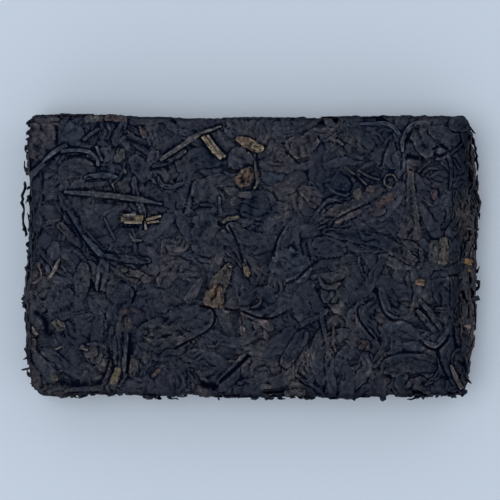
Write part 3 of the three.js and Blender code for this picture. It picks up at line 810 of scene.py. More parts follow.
class Bed:
    """A face of the core with the leaves that lie on it, and the height of what lies there so far."""

    CELL = 0.3

    def __init__(self, low, high, place, keep, outer, shade, peak, pit):
        self.low = np.array(low, float)
        self.height = np.zeros(np.ceil((np.array(high) - low) / self.CELL).astype(int))
        self.place = place
        self.keep = keep
        self.outer = outer
        self.shade = shade
        self.peak = peak
        self.pit = pit
        self.core = np.zeros(self.height.shape)
        self.leaves = []
        self.count = 0
        self.fold = np.zeros(self.height.shape)
        self.uppermost = np.zeros(self.height.shape, int)
        self.trench = np.zeros(self.height.shape, int)
        self.marked = np.zeros(self.height.shape)

    def cells(self, a, b):
        """Where places fall on the height map, which closes on itself along its first side."""
        i = np.mod((a - self.low[0]) / self.CELL, self.height.shape[0])
        j = np.clip((b - self.low[1]) / self.CELL, 0, self.height.shape[1] - 1.001)
        return i, j

    def read(self, field, a, b):
        """A field of the map at places between its cells."""
        i, j = self.cells(a, b)
        i0, j0 = i.astype(int) % field.shape[0], j.astype(int)
        i1 = (i0 + 1) % field.shape[0]
        s, t = i - i.astype(int), j - j0
        low = field[i0, j0] * (1 - s) + field[i1, j0] * s
        high = field[i0, j0 + 1] * (1 - s) + field[i1, j0 + 1] * s
        return low * (1 - t) + high * t

    def blur(self, field, reach):
        """The field softened over a distance in millimetres."""
        turns_a = np.fft.fftfreq(field.shape[0], self.CELL)[:, None]
        turns_b = np.fft.rfftfreq(field.shape[1], self.CELL)
        fade = np.exp(-2 * (math.pi * reach) ** 2 * (turns_a**2 + turns_b**2))
        return np.fft.irfft2(np.fft.rfft2(field) * fade, field.shape)

    def evened(self, field, laid, reach):
        """The field softened over the places where leaves lie."""
        return self.blur(field, reach) / np.maximum(self.blur(laid, reach), LEAST_LAID)

    def depth_at(self, leaf, place):
        """How high the bed is under a leaf, were it laid at a place."""
        a, b = self.keep(leaf.a[::3, ::2] + place[0], leaf.b[::3, ::2] + place[1])
        return self.read(self.height, a, b).mean()

    def lay(self, leaf, place=(0, 0), shown=True, landmark=False):
        """Lays a leaf over all that lies there. A leaf that isn't shown only raises the core."""
        leaf.a, leaf.b = self.keep(leaf.a + place[0], leaf.b + place[1])
        ground = self.read(self.height, leaf.a, leaf.b)
        if leaf.form.stiff:
            ridge = np.broadcast_to(ground.max(axis=1, keepdims=True), ground.shape)
            support = softened(ridge, leaf.form.soft * 2)
        else:
            support = softened(np.max(neighbours(ground, 1), axis=0), leaf.form.soft)
        leaf.raw = np.maximum(support + leaf.form.lift + leaf.form.thick + leaf.relief, ground + 0.08)
        edge = np.ones(leaf.raw.shape, bool)
        edge[1:-1, 1:-1] = False
        leaf.raw = leaf.raw - leaf.form.thick * edge
        self.count += 1
        leaf.order = self.count
        i, j = self.cells(leaf.a, leaf.b)
        i0, j0 = i.astype(int), j.astype(int)
        for di in (0, 1):
            for dj in (0, 1):
                cell = (i0 + di) % self.height.shape[0], j0 + dj
                np.maximum.at(self.height, cell, leaf.raw)
                self.uppermost[cell] = leaf.order
                self.fold[cell] = leaf.fold
                self.marked[cell] = np.maximum(self.marked[cell], landmark)
        if shown:
            self.leaves.append(leaf)
        if shown and leaf.kind not in ("chip", "stalk", "strip"):
            self.dig(leaf)

    def dig(self, leaf):
        """Marks the trench that a leaf presses into what lies below, just outside its edge."""
        rim, inner = outer_ring(leaf, 0), outer_ring(leaf, 1)
        way = rim - inner
        far = rim + TRENCH_REACH * way / np.maximum(np.hypot(*way.T), 1e-6)[:, None]
        i, j = self.cells(*far.T)
        self.trench[np.round(i).astype(int) % self.height.shape[0], np.round(j).astype(int)] = leaf.order

    def settle(self):
        """Presses what lies there: tops flush at one level, small steps halved and pits kept."""
        laid = self.height > 0
        plate = self.evened(self.height, laid.astype(float), PLATE_STIFFNESS)
        self.height = np.where(laid, self.squeeze(self.height - plate), 0)
        self.core = np.where(laid, self.squeeze(self.core - plate), 0) if self.leaves else self.height.copy()
        for leaf in self.leaves:
            leaf.raw = self.squeeze(leaf.raw - self.read(plate, leaf.a, leaf.b))

    def squeeze(self, height):
        """Where a height above or below the plate ends up."""
        above = self.peak * (1 - np.exp(-np.maximum(height, 0) / self.peak))
        depth = np.maximum(-height, 0)
        return DEPTH + above - self.pit * (1 - np.exp(-(0.75 * depth + 0.3 * depth**2) / self.pit))

    def finish(self, draw, clefts=None):
        """Sinks the clefts, drops leaves that are buried, and paints shade and highlight onto each place."""
        cleft = np.zeros(self.height.shape) if clefts is None else clefts
        laid = (self.height > 0).astype(float)
        patches = self.blur(draw.normal(0, 1, self.height.shape), PATCH_REACH)
        near_mark = self.blur(self.marked, 0.5)
        open_share = np.clip(0.60 + 0.55 * patches / patches.std() + 0.45 * near_mark, 0, 1)
        dug = TRENCH_DEPTH * open_share * self.blur((self.trench > self.uppermost).astype(float), 0.2)
        surface = (self.height + self.fold - cleft - dug) * laid
        close = self.evened(surface, laid, CLOSE_REACH)
        wide = self.evened(surface, laid, WIDE_REACH)
        self.core = self.core + self.fold - cleft - dug
        kept = []
        for leaf in self.leaves:
            i, j = self.cells(leaf.a, leaf.b)
            cell = np.round(i).astype(int) % len(laid), np.round(j).astype(int)
            bare = self.uppermost[cell] <= leaf.order
            if bare.mean() < LEAST_SHOWN:
                continue
            later = self.trench[cell] > leaf.order
            sunk = self.read(cleft, leaf.a, leaf.b) + later * self.read(dug, leaf.a, leaf.b)
            leaf.height = leaf.raw - sunk + np.where(bare, leaf.fold, self.read(self.fold, leaf.a, leaf.b))
            apart = self.read(open_share, leaf.a, leaf.b)
            level = apart * leaf.height + (1 - apart) * self.read(surface, leaf.a, leaf.b)
            fine = level - self.read(close, leaf.a, leaf.b)
            coarse = level - self.read(wide, leaf.a, leaf.b)
            hollow = np.clip(-coarse / HOLLOW_DEPTH, 0, 1)
            # Painted shade and highlight: places below their surroundings are painted dark, most in hollows,
            # and places above them bright
            leaf.wear = np.clip(0.5 + fine / PAINTED_LIGHT_HEIGHT, 0, 1) * (1 - 0.6 * hollow)
            outer = self.outer(leaf.a, leaf.b)
            loose = draw.uniform(TUCKED_IN, STANDS_OUT)
            free = softened(bare.astype(float), 2)
            leaf.height = leaf.height + (TUCKED_IN + (loose - TUCKED_IN) * free) * outer
            # Painted shade on the walls, over the rims and down the worn right end: less painted light
            # there, and a dimmer colour
            leaf.wear = leaf.wear * (1 - 0.15 * outer)
            shade = 0 if leaf.kind in ("chip", "stalk") else self.shade * draw.uniform(0.2, 1.8)
            leaf.bright = 1 - shade * outer
            self.trim(leaf, bare)
            kept.append(leaf)
        self.leaves = kept

    @staticmethod
    def trim(leaf, bare):
        """Cuts off the ends and sides of a leaf that other leaves hide, by whole pairs of lines."""
        spans = []
        for axis in (1, 0):
            seen = np.flatnonzero(bare.any(axis=axis))
            last = min((seen[-1] + 4) // 2 * 2, bare.shape[1 - axis] - 1)
            first = max(min(max(seen[0] - 2, 0) // 2 * 2, last - 4), 0)
            spans.append(slice(first, last + 1))
        for name in GRIDS:
            setattr(leaf, name, getattr(leaf, name)[tuple(spans)])


def near_line(x, y, points):
    """How far places lie from a line through a few points."""
    nearest = np.full(np.shape(x), np.inf)
    curve = smooth_curve(points)
    for start, end in zip(curve, curve[1:]):
        way = end - start
        t = np.clip(((x - start[0]) * way[0] + (y - start[1]) * way[1]) / max(way @ way, 1e-9), 0, 1)
        nearest = np.minimum(nearest, np.hypot(x - start[0] - t * way[0], y - start[1] - t * way[1]))
    return nearest


def cleft_depths(bed):
    """How deep the shown clefts are over the top bed."""
    columns, rows = bed.height.shape
    x = bed.low[0] + np.arange(columns)[:, None] * bed.CELL
    y = bed.low[1] + np.arange(rows)[None, :] * bed.CELL
    x, y = np.broadcast_arrays(x, y)
    depths = np.zeros(bed.height.shape)
    for width, depth, path in CLEFTS.values():
        away = near_line(x, y, on_photo(path)) / (width / PIXELS_A_MM / 2)
        depths = np.maximum(depths, depth * np.exp(-(away**2)))
    return depths


EVEN_STEPS = (0.7548776662, 0.5698402910)


def even_places(count, low, high):
    """Places spread evenly over a rectangle, by steps that never fall into rows."""
    steps = np.arange(1, count + 1)[:, None] * EVEN_STEPS
    return low + (np.mod(steps + 0.37, 1)) * (np.array(high) - low)


def dark_colour(draw):
    """The colour of a leaf that no landmark sets: mostly ink and slate, now and then brown."""
    brown = 3.0 if draw.uniform() < 0.14 else 0.5
    mix = draw.dirichlet((3.0, 2.4, brown, 0.15 * brown))
    return (mix @ np.array([INK, SLATE, UMBER, RUST])) * draw.uniform(0.6, 1.4)


def wandering_path(heading, length, bow, draw):
    """A path about the middle: nearly straight, bowed to one side."""
    t = np.linspace(-0.5, 0.5, 4)
    side = bow * length * (0.25 - t**2) * 4 + draw.normal(0, 0.025 * length, 4)
    cos, sin = math.cos(heading), math.sin(heading)
    along = t * length
    return np.stack([along * cos - side * sin, along * sin + side * cos], axis=1)


# Sizes of leaves that no landmark sets: form, least and most width, least and most length, and bow
LOOSE_SIZES = {
    "broad": ("broad", (6.0, 13.0), (12, 25), 0.06),
    "curled": ("curled", (2.2, 4.4), (10, 24), 0.14),
    "folded": ("folded", (3.0, 6.5), (10, 24), 0.14),
    "sliver": ("curled", (0.9, 2.0), (5, 14), 0.16),
}


def fill_bed(bed, size_name, count, area, headings, draw, step, shown=True, tries=6, spread=0.35):
    """Lays many leaves, evenly spread, each where the bed is lowest of several places close by."""
    form, widths, lengths, bow = LOOSE_SIZES[size_name]
    for middle in even_places(count, *area):
        length = draw.uniform(*lengths)
        path = wandering_path(headings(draw), length, draw.normal(0, bow), draw)
        leaf = make_leaf(form, dark_colour(draw), draw.uniform(*widths), path, draw, step)
        places = np.clip(middle + draw.normal(0, spread * length, (tries, 2)), *area)
        place = min(places, key=lambda place: bed.depth_at(leaf, place))
        bed.lay(leaf, place, shown)
    bed.settle()


FACE_MAP = ((-80, -54), (80, 54))
FACE_AREA = (np.array([-MOULD_LENGTH, -MOULD_WIDTH]) / 2, np.array([MOULD_LENGTH, MOULD_WIDTH]) / 2)
WALL_AREA = (np.array([0, FLOOR]), np.array([PERIMETER, TOP]))


def any_way(draw):
    """Any heading at all."""
    return draw.uniform(0, math.pi)


def near_level(draw):
    """A heading nearly level, as leaves lie in the walls."""
    return draw.normal(0, 0.25)


def lay_shown(bed, forms, draw):
    """Lays the leaves of the photograph that have one of some forms."""
    for form, colour, width, path in SHOWN_LEAVES.values():
        if form in forms:
            leaf = make_leaf(form, colour, np.atleast_1d(width) / PIXELS_A_MM, on_photo(path), draw, 0.42)
            bed.lay(leaf, landmark=True)
    bed.settle()


def top_bed():
    """The top face: hidden leaves, loose ones, and over them those of the photograph."""
    draw = np.random.default_rng(11)
    bed = Bed(*FACE_MAP, on_top, kept_on_face, past_rim, shade=0.45, peak=0.30, pit=1.7)
    low_right = (np.array([5, -MOULD_WIDTH / 2]), np.array([MOULD_LENGTH / 2, 5]))
    fill_bed(bed, "broad", 150, FACE_AREA, any_way, draw, 0.8, shown=False)
    fill_bed(bed, "curled", 150, FACE_AREA, any_way, draw, 0.8, shown=False)
    fill_bed(bed, "curled", 130, FACE_AREA, any_way, draw, 0.65)
    fill_bed(bed, "broad", 130, FACE_AREA, any_way, draw, 0.6)
    fill_bed(bed, "folded", 80, FACE_AREA, any_way, draw, 0.68)
    fill_bed(bed, "folded", 60, low_right, any_way, draw, 0.66)
    fill_bed(bed, "folded", 110, FACE_AREA, any_way, draw, 0.66, tries=60, spread=1.0)
    lay_shown(bed, ("broad", "smooth", "folded"), draw)
    fill_bed(bed, "sliver", 30, FACE_AREA, any_way, draw, 0.40)
    lay_shown(bed, ("strip", "stalk", "chip"), draw)
    bed.finish(draw, cleft_depths(bed))
    for leaf in bed.leaves:
        # Painted light: leaves paler towards the back of the top face
        leaf.bright = leaf.bright * (1 + BACK_PAINTED_LIGHT * leaf.b)
        for middle, reach in DARK_PLACES.values():
            if np.hypot(*(on_photo(middle) - (leaf.a.mean(), leaf.b.mean()))) < reach:
                leaf.colour = np.minimum(leaf.colour, SLATE)
    return bed


def underside_bed():
    """The underside, where no leaf is known."""
    draw = np.random.default_rng(12)
    bed = Bed(*FACE_MAP, on_underside, kept_on_face, over_rim, shade=0.3, peak=0.25, pit=1.5)
    fill_bed(bed, "broad", 200, FACE_AREA, any_way, draw, 1.0, shown=False)
    fill_bed(bed, "curled", 150, FACE_AREA, any_way, draw, 0.95)
    fill_bed(bed, "broad", 130, FACE_AREA, any_way, draw, 1.0)
    fill_bed(bed, "curled", 100, FACE_AREA, any_way, draw, 0.95)
    bed.finish(draw)
    return bed


# Torn bits on the walls: their lengths and widths, the steps of their mesh, the most that one lifts, less at
# the back, the even painted light they get, and how far below the top rim those near it can lie
SHRED_LENGTHS = (1.2, 4.5)
SHRED_WIDTHS = (0.8, 2.6)
SHRED_STEP = 0.5
SHRED_LIFT = 1.9
BACK_SHRED_LIFT = 0.8
SHRED_PAINTED_LIGHT = 0.45
NEAR_RIM = 5


def as_shred(leaf):
    """Marks a leaf that stands out of the walls, with the same painted light all over."""
    leaf.wear = np.full(leaf.height.shape, SHRED_PAINTED_LIGHT)
    leaf.kind = "shred"
    return leaf


def strands(draw):
    """The strands of the photograph that stand out of the walls, at their distance from them."""
    made = []
    for colour, width, ends, pixels in EDGE_STRANDS.values():
        z = np.linspace(*ends, len(pixels))
        places = on_photo(pixels) * (1 + (TOP - z[:, None]) / CAMERA_HEIGHT)
        nearest = nearest_on_mould(places)
        distance = FINE_ROUND[nearest]
        path = np.stack([distance, z], axis=1)
        leaf = make_leaf("curled", colour, width / PIXELS_A_MM, path, draw, SHRED_STEP)
        ways = np.stack(round_mould(distance)[2:], axis=1)
        out = np.sum((places - FINE_OUTLINE[nearest]) * ways, axis=1) - lean(*places.T, z)
        out = np.interp(leaf.u, np.linspace(0, 1, len(out)), out)
        leaf.height = out + DEPTH + WALL_SETBACK - swelling(*round_mould(leaf.a), leaf.b) + leaf.relief
        made.append(as_shred(leaf))
    return made


def shreds(bed, count, draw):
    """Small torn bits that stand out of the walls, many of them near the top rim: flaps and blunt crumbs."""
    made = []
    for _ in range(count):
        heading = draw.normal(0, 0.6) + math.pi * draw.integers(2)
        path = wandering_path(heading, draw.uniform(*SHRED_LENGTHS), draw.normal(0, 0.15), draw)
        leaf = make_leaf("chip", dark_colour(draw), draw.uniform(*SHRED_WIDTHS), path, draw, SHRED_STEP)
        below = NEAR_RIM * draw.uniform() ** 2 if draw.uniform() < 0.45 else draw.uniform(0, TOP - FLOOR - 3)
        leaf.a = leaf.a + draw.uniform(0, PERIMETER)
        leaf.b = np.clip(leaf.b + TOP - 1.0 - below, FLOOR + 1.0, TOP - 0.5)
        ground = softened(bed.read(bed.height, leaf.a, leaf.b), 9)
        free_end = 1 - leaf.u if draw.uniform() < 0.6 else 1
        most = np.where(round_mould(leaf.a)[1] > REACH_Y, BACK_SHRED_LIFT, SHRED_LIFT)
        lift = most * draw.uniform() ** 2 * np.clip(5 * np.minimum(leaf.u, free_end), 0, 1)
        leaf.height = ground + leaf.relief + lift
        made.append(as_shred(leaf))
    return made


def wall_bed():
    """The walls: leaves on edge all round, and torn bits that stand out of them."""
    draw = np.random.default_rng(13)
    high = (round(PERIMETER / Bed.CELL) * Bed.CELL, TOP + 6)
    bed = Bed((0, FLOOR - 6), high, on_wall, kept_on_wall, all_outer, shade=0.15, peak=0.5, pit=1.5)
    fill_bed(bed, "curled", 260, WALL_AREA, near_level, draw, 0.9, shown=False)
    fill_bed(bed, "curled", 200, WALL_AREA, near_level, draw, 0.8)
    fill_bed(bed, "broad", 110, WALL_AREA, near_level, draw, 0.75)
    fill_bed(bed, "curled", 150, WALL_AREA, near_level, draw, 0.7)
    fill_bed(bed, "sliver", 220, WALL_AREA, near_level, draw, 0.55)
    bed.finish(draw)
    for leaf in bed.leaves:
        if leaf.a.mean() < MOULD_WIDTH:
            leaf.colour = END_WALL_SHADE * (leaf.colour + np.array(UMBER))
    bed.leaves += shreds(bed, 500, draw) + strands(draw)
    return bed


# Meshes


@lru_cache(maxsize=None)
def shell(rows, columns):
    """Faces of a thin closed leaf: every cell of its grid above, and every second line of it below.
    Returns the corners of all faces in turn, where each face starts, and the grid places below."""
    grid = np.arange(rows * columns).reshape(rows, columns)
    above = np.stack([grid[:-1, :-1], grid[1:, :-1], grid[1:, 1:], grid[:-1, 1:]], axis=-1).reshape(-1, 4)
    inner_rows, inner_columns = np.arange(2, rows - 2, 2), np.arange(2, columns - 2, 2)
    under = grid.copy()
    count = len(inner_rows) * len(inner_columns)
    under[np.ix_(inner_rows, inner_columns)] = rows * columns + np.arange(count).reshape(len(inner_rows), -1)
    below = []
    for i in range(0, rows - 1, 2):
        for j in range(0, columns - 1, 2):
            face = [under[i, j]]
            face += [grid[0, j + 1]] if i == 0 else []
            face += [under[i, j + 2]]
            face += [grid[i + 1, -1]] if j + 2 == columns - 1 else []
            face += [under[i + 2, j + 2]]
            face += [grid[-1, j + 1]] if i + 2 == rows - 1 else []
            face += [under[i + 2, j]]
            face += [grid[i + 1, 0]] if j == 0 else []
            below.append(face)
    corners = np.concatenate([above.ravel(), *below])
    sizes = np.concatenate([np.full(len(above), 4), [len(face) for face in below]])
    starts = np.concatenate([[0], np.cumsum(sizes)[:-1]])
    return corners, starts, np.ix_(inner_rows, inner_columns)


def paint(mesh, colours, wears, grains):
    """Gives a mesh what its finish reads: its colour, its painted shade and highlight, and the run of its
    grain.
    """
    colours = np.column_stack([colours, np.ones(len(colours))])
    mesh.attributes.new("leaf_colour", "FLOAT_COLOR", "POINT").data.foreach_set("color", colours.ravel())
    mesh.attributes.new("wear", "FLOAT", "POINT").data.foreach_set("value", wears)
    mesh.attributes.new("grain", "FLOAT_VECTOR", "POINT").data.foreach_set("vector", grains.ravel())


def colour_over(leaf):
    """The colour at each place of a leaf: flakes are stained dark towards their edges, and all is scaled by
    the painted shade and light.
    """
    bare = np.clip(2.0 * (1 - np.maximum(np.abs(leaf.v), np.abs(2 * leaf.u - 1)) ** 3), 0, 1)
    share = bare if leaf.kind == "chip" else np.ones(leaf.a.shape)
    return (np.array(SLATE) + (leaf.colour - np.array(SLATE)) * share[..., None]) * leaf.bright[..., None]


def joined_leaves(name, bed, leaves, finish):
    """All leaves of one kind on a bed as one piece, each a closed thin solid."""
    points, corners, starts, colours, wears, grains = [], [], [], [], [], []
    vertex_count = corner_count = 0
    for leaf in leaves:
        face_corners, face_starts, inner = shell(*leaf.height.shape)
        low = np.min(neighbours(leaf.height, 2), axis=0) - leaf.form.thick
        top = broken_edge(bed.place(leaf.a, leaf.b, leaf.height)).reshape(-1, 3)
        under = broken_edge(bed.place(leaf.a[inner], leaf.b[inner], low[inner])).reshape(-1, 3)
        grain = np.stack([leaf.along, leaf.across, np.full(leaf.a.shape, leaf.seed)], axis=-1)
        points += [top, under]
        # Leaf undersides are painted wholly in shade
        wears += [leaf.wear.ravel(), np.zeros(len(under))]
        grains += [grain.reshape(-1, 3), grain[inner].reshape(-1, 3)]
        tone = colour_over(leaf)
        colours += [tone.reshape(-1, 3), tone[inner].reshape(-1, 3)]
        corners.append(face_corners + vertex_count)
        starts.append(face_starts + corner_count)
        vertex_count += len(top) + len(under)
        corner_count += len(face_corners)
    mesh = bpy.data.meshes.new(name)
    points, corners, starts = np.vstack(points), np.concatenate(corners), np.concatenate(starts)
    mesh.vertices.add(len(points))
    mesh.vertices.foreach_set("co", (points * MM).ravel())
    mesh.loops.add(len(corners))
    mesh.loops.foreach_set("vertex_index", corners.astype(np.int32))
    mesh.polygons.add(len(starts))
    mesh.polygons.foreach_set("loop_start", starts.astype(np.int32))
    mesh.polygons.foreach_set("use_smooth", np.ones(len(starts), bool))
    mesh.update(calc_edges=True)
    paint(mesh, np.vstack(colours), np.concatenate(wears), np.vstack(grains))
    piece = bpy.data.objects.new(name, mesh)
    bpy.context.scene.collection.objects.link(piece)
    mesh.materials.append(finish)
    return piece


def core(top, underside, walls, finish):
    """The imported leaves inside: a block with round rims, raised and sunk by the leaves buried in it."""
    middle = (0, 0, (TOP + FLOOR) / 2 * MM)
    bpy.ops.object.select_all(action="DESELECT")
    bpy.ops.mesh.primitive_cube_add(size=1, location=middle)
    block = bpy.context.object
    block.name = block.data.name = "core"
    bpy.ops.object.transform_apply(location=True)
    bpy.ops.object.mode_set(mode="EDIT")
    bpy.ops.mesh.select_all(action="SELECT")
    size = (np.array([MOULD_LENGTH, MOULD_WIDTH, TOP - FLOOR]) - 2 * DEPTH) * MM
    bpy.ops.transform.resize(value=tuple(size), center_override=middle)
    bpy.ops.mesh.bevel(offset=RIM_RADIUS * MM, segments=3, affect="EDGES")
    bpy.ops.object.mode_set(mode="OBJECT")
    evenly = block.modifiers.new("even cells", "REMESH")
    evenly.mode = "VOXEL"
    evenly.voxel_size = CORE_CELL * MM
    bpy.ops.object.modifier_apply(modifier=evenly.name)
    count = len(block.data.vertices)
    points, ways = np.zeros(count * 3, np.float32), np.zeros(count * 3, np.float32)
    block.data.vertices.foreach_get("co", points)
    block.data.vertices.foreach_get("normal", ways)
    points, ways = points.reshape(-1, 3) / MM, ways.reshape(-1, 3)
    x, y, z = points.T
    parts = np.array_split(points[:, :2], 12)
    distance = FINE_ROUND[np.concatenate([nearest_on_mould(part) for part in parts])]
    over = top.read(top.core, x, y) - CORE_SINK
    below = underside.read(underside.core, -x, y) - CORE_SINK
    beside = walls.read(walls.core, distance, z) - CORE_SINK - WALL_SETBACK
    _, _, out_x, out_y, _ = past_middle(x, y)
    beside = beside + swelling(x, y, out_x, out_y, z)
    share = ways[:, 2] ** 2
    raise_by = share * np.where(ways[:, 2] > 0, over, below) + (1 - share) * beside
    moved = broken_edge(points + ways * raise_by[:, None])
    block.data.vertices.foreach_set("co", (moved * MM).ravel())
    block.data.update()
    # Painted shade: the core is painted darker the deeper it lies below the leaves
    bare = CORE_PAINTED_LIGHT * np.clip((raise_by + CORE_SINK) / DEPTH, 0, 1)
    paint(block.data, np.broadcast_to(np.array(INK) + SLATE, (count, 3)) / 2, bare, points)
    bpy.ops.object.shade_smooth()
    block.data.materials.append(finish)
    return block


# Finishes


class Value:
    """A number that changes over a surface: sums on it add the nodes that work them out."""

    def __init__(self, finish, socket):
        self.finish = finish
        self.socket = socket

    def _with(self, operation, first, second):
        return self.finish.node("ShaderNodeMath", {"operation": operation}, {0: first, 1: second})

    def __add__(self, other):
        return self._with("ADD", self, other)

    def __radd__(self, other):
        return self._with("ADD", other, self)

    def __sub__(self, other):
        return self._with("SUBTRACT", self, other)

    def __rsub__(self, other):
        return self._with("SUBTRACT", other, self)

    def __mul__(self, other):
        return self._with("MULTIPLY", self, other)

    def __rmul__(self, other):
        return self._with("MULTIPLY", other, self)

    def __abs__(self):
        return self._with("ABSOLUTE", self, 0.0)

    def at_most(self, limit):
        return self._with("MINIMUM", self, limit)

    def at_least(self, limit):
        return self._with("MAXIMUM", self, limit)


class Finish:
    """A material with its shader. Any node comes from node(), its settings first and then its sockets."""

    def __init__(self, name):
        self.material = bpy.data.materials.new(name)
        self.material.use_nodes = True
        self.tree = self.material.node_tree
        self.shader = self.tree.nodes["Principled BSDF"]

    def node(self, kind, settings, sockets, output=0):
        node = self.tree.nodes.new(kind)
        for name, value in settings.items():
            setattr(node, name, value)
        for name, value in sockets.items():
            self.feed(node.inputs[name], value)
        return Value(self, node.outputs[output])

    def feed(self, socket, value):
        if isinstance(value, Value):
            self.tree.links.new(value.socket, socket)
        else:
            socket.default_value = value

    def surface(self, **sockets):
        for name, value in sockets.items():
            self.feed(self.shader.inputs[name.replace("_", " ")], value)
        return self.material

    def noise(self, vector, scale, detail=3.0, roughness=0.55):
        sockets = {"Vector": vector, "Scale": scale, "Detail": detail, "Roughness": roughness}
        return self.node("ShaderNodeTexNoise", {}, sockets)

    def attribute(self, name, output):
        return self.node("ShaderNodeAttribute", {"attribute_name": name}, {}, output)

    def tinted(self, colour, red, green, blue):
        """A colour whose red, green and blue are each made darker or brighter."""
        by = self.node("ShaderNodeCombineColor", {}, {"Red": red, "Green": green, "Blue": blue})
        return self.mixed(1.0, colour, by, "MULTIPLY")

    def mixed(self, share, first, second, blend="MIX"):
        settings = {"data_type": "RGBA", "blend_type": blend}
        return self.node("ShaderNodeMix", settings, {"Factor": share, 6: first, 7: second}, 2)

    def bump(self, height, strength, distance):
        sockets = {"Height": height, "Strength": strength, "Distance": distance}
        return self.node("ShaderNodeBump", {}, sockets)


def leaf_finish(name, sheen, stretch, furrow_shade_and_bump, stains):
    """Dry dark leaf: mottled, browned and waxy, painted dark in clefts and furrows and painted bright on
    ridges.
    """
    finish = Finish(name)
    grain = finish.attribute("grain", "Vector")
    place = finish.node("ShaderNodeTexCoord", {}, {}, "Object")
    wear = finish.attribute("wear", "Fac")
    drawn = finish.node("ShaderNodeVectorMath", {"operation": "MULTIPLY"}, {0: grain, 1: stretch})
    lines = finish.noise(drawn, 1.0, 4.0, 0.6)
    mottles = finish.noise(grain, 0.75, 4.0, 0.65)
    blotches = finish.noise(place, 180.0, 4.0, 0.65)
    clouds = finish.noise(place, 65.0, 2.0)
    specks = finish.noise(place, 2000.0, 3.0, 0.65)
    spots = finish.noise(drawn, 1.3, 3.0, 0.6)
    furrow = (abs(lines - 0.5) * 12.0).at_most(1.0)
    # How lit each place is painted: its painted shade and highlight, random specks and mottles, and painted
    # shade in the thin furrows along the grain
    bare = wear + 0.4 * (specks - 0.5) + 0.3 * (mottles - 0.5) - 0.20 * furrow_shade_and_bump * (1 - furrow)
    face = ((bare - 0.12) * 3.0).at_least(0.0).at_most(1.0)
    # Painted highlights on ridges, and painted glints on lit faces
    ridge = ((bare - 0.55) * 2.4).at_least(0.0).at_most(1.3)
    glints = ((specks - 0.66) * 8.0).at_least(0.0).at_most(1.0) * face
    light = (0.02 + 0.46 * face + 1.3 * ridge + 0.8 * glints) * (3.6 * mottles - 0.8).at_least(0.35)
    light = light * (2.6 * clouds - 0.3).at_least(0.4)
    browning = ((blotches + 0.9 * clouds - 0.93) * 3.0).at_least(0.0).at_most(0.7) * face
    browned = finish.mixed(browning, finish.attribute("leaf_colour", "Color"), (*UMBER, 1.0))
    staining = stains * ((spots - 0.47) * 7.0).at_least(0.0).at_most(1.0)
    stained = finish.mixed(staining, browned, (*PEAT, 1.0))
    # A painted blue sheen of the sky, added to the colour, strongest where the clouds are darkest
    blue = 2.6 - 3.0 * clouds
    painted_sheen = finish.tinted((*PAINTED_SKY_SHEEN, 1.0), blue, blue, blue)
    # The painted light, a little warmer on the painted ridge highlights
    lit = finish.tinted(stained, light * (1 + 0.12 * ridge), light, light * (1 - 0.10 * ridge))
    relief = 0.4 * mottles + 0.3 * furrow_shade_and_bump * furrow + 0.5 * specks
    return finish.surface(
        Base_Color=finish.mixed(1.0, lit, painted_sheen, "ADD"),
        Roughness=sheen + 0.25 * mottles,
        Specular_IOR_Level=0.02,
        Coat_Weight=0.30 * face * (0.3 + 1.2 * mottles),
        Coat_Roughness=0.42,
        Normal=finish.bump(relief, 0.8, 0.35 * MM),
    )


def floor_finish():
    """A pale dull table with faint clouds."""
    finish = Finish("pale table")
    place = finish.node("ShaderNodeTexCoord", {}, {}, "Object")
    cloud = 0.97 + 0.06 * finish.noise(place, 6.0, 2.0)
    return finish.surface(
        Base_Color=finish.tinted((0.80, 0.80, 0.80, 1.0), cloud, cloud, cloud),
        Roughness=0.85,
    )


# The brick


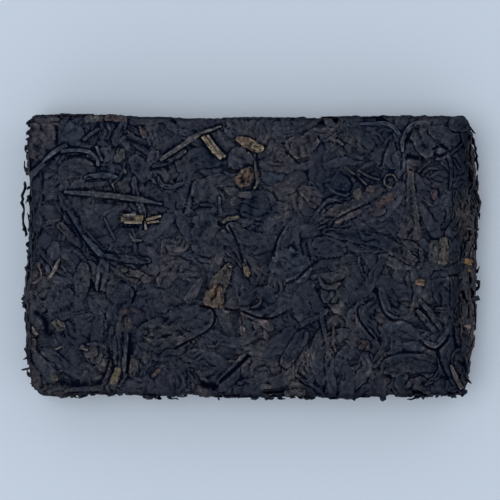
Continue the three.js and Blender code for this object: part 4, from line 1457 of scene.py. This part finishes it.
def brick():
    """The core and all the leaves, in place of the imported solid."""
    top, underside, walls = top_bed(), underside_bed(), wall_bed()
    dark = leaf_finish("dark leaf", 0.45, (0.35, 1.1, 1.0), 0.8, 0.0)
    stalk = leaf_finish("stalk", 0.50, (0.30, 3.0, 1.0), 1.0, 0.45)
    flake = leaf_finish("pale flake", 0.50, (0.40, 2.0, 1.0), 1.0, 0.4)
    groups = {
        "broad_leaves": (top, ("broad",), dark),
        "smooth_leaves": (top, ("smooth",), dark),
        "folded_leaves": (top, ("folded",), dark),
        "curled_leaves": (top, ("curled", "strip"), dark),
        "stalks": (top, ("stalk",), stalk),
        "flakes": (top, ("chip",), flake),
        "underside_leaves": (underside, ("broad", "curled"), dark),
        "wall_leaves": (walls, ("broad",), dark),
        "wall_strips": (walls, ("curled",), dark),
        "shreds": (walls, ("shred",), dark),
    }
    pieces = [core(top, underside, walls, dark)]
    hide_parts("tea_brick")
    for name, (bed, kinds, finish) in groups.items():
        pieces.append(joined_leaves(name, bed, [leaf for leaf in bed.leaves if leaf.kind in kinds], finish))
    for piece in pieces:
        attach(piece, "root")


# The stage


def table():
    """The plain surface that the brick lies on."""
    bpy.ops.object.select_all(action="DESELECT")
    bpy.ops.mesh.primitive_plane_add(size=8, location=(0, 0, 0))
    floor = bpy.context.object
    floor.name = "table"
    floor.data.materials.append(floor_finish())


# The light: its colour, the lamp's place, turn, size and power, and how bright the room is
LIGHT_COLOUR = (0.74, 0.85, 1.0)
LAMP_PLACE = (-0.30, 0.0, 1.5)
LAMP_TURN = math.radians(-11.3)
LAMP_SIZE = 0.8
LAMP_POWER = 6.4
ROOM_POWER = 0.67


def light():
    """A soft lamp above, a little to the left, in a bright room."""
    bpy.ops.object.light_add(type="AREA", location=LAMP_PLACE)
    lamp = bpy.context.object
    lamp.name = "overhead light"
    lamp.data.shape = "DISK"
    lamp.data.size = LAMP_SIZE
    lamp.data.energy = LAMP_POWER
    lamp.data.color = LIGHT_COLOUR
    lamp.rotation_euler = (0, LAMP_TURN, 0)
    world = bpy.data.worlds.new("soft room")
    world.use_nodes = True
    sky = world.node_tree.nodes["Background"]
    sky.inputs["Color"].default_value = (*LIGHT_COLOUR, 1)
    sky.inputs["Strength"].default_value = ROOM_POWER
    bpy.context.scene.world = world
    bpy.context.scene.view_settings.view_transform = "Standard"


def camera():
    """The photograph's view, straight down."""
    frame_middle = on_photo((PHOTO_FRAME / 2, PHOTO_FRAME / 2)) * MM
    data = bpy.data.cameras.new("camera")
    data.lens = data.sensor_width * CAMERA_HEIGHT / (PHOTO_FRAME / PIXELS_A_MM)
    data.clip_end = 20
    eye = bpy.data.objects.new("camera", data)
    eye.location = (*frame_middle, SOLID_BOX[1].z + CAMERA_HEIGHT * MM)
    bpy.context.scene.collection.objects.link(eye)
    bpy.context.scene.camera = eye


brick()
table()
light()
camera()
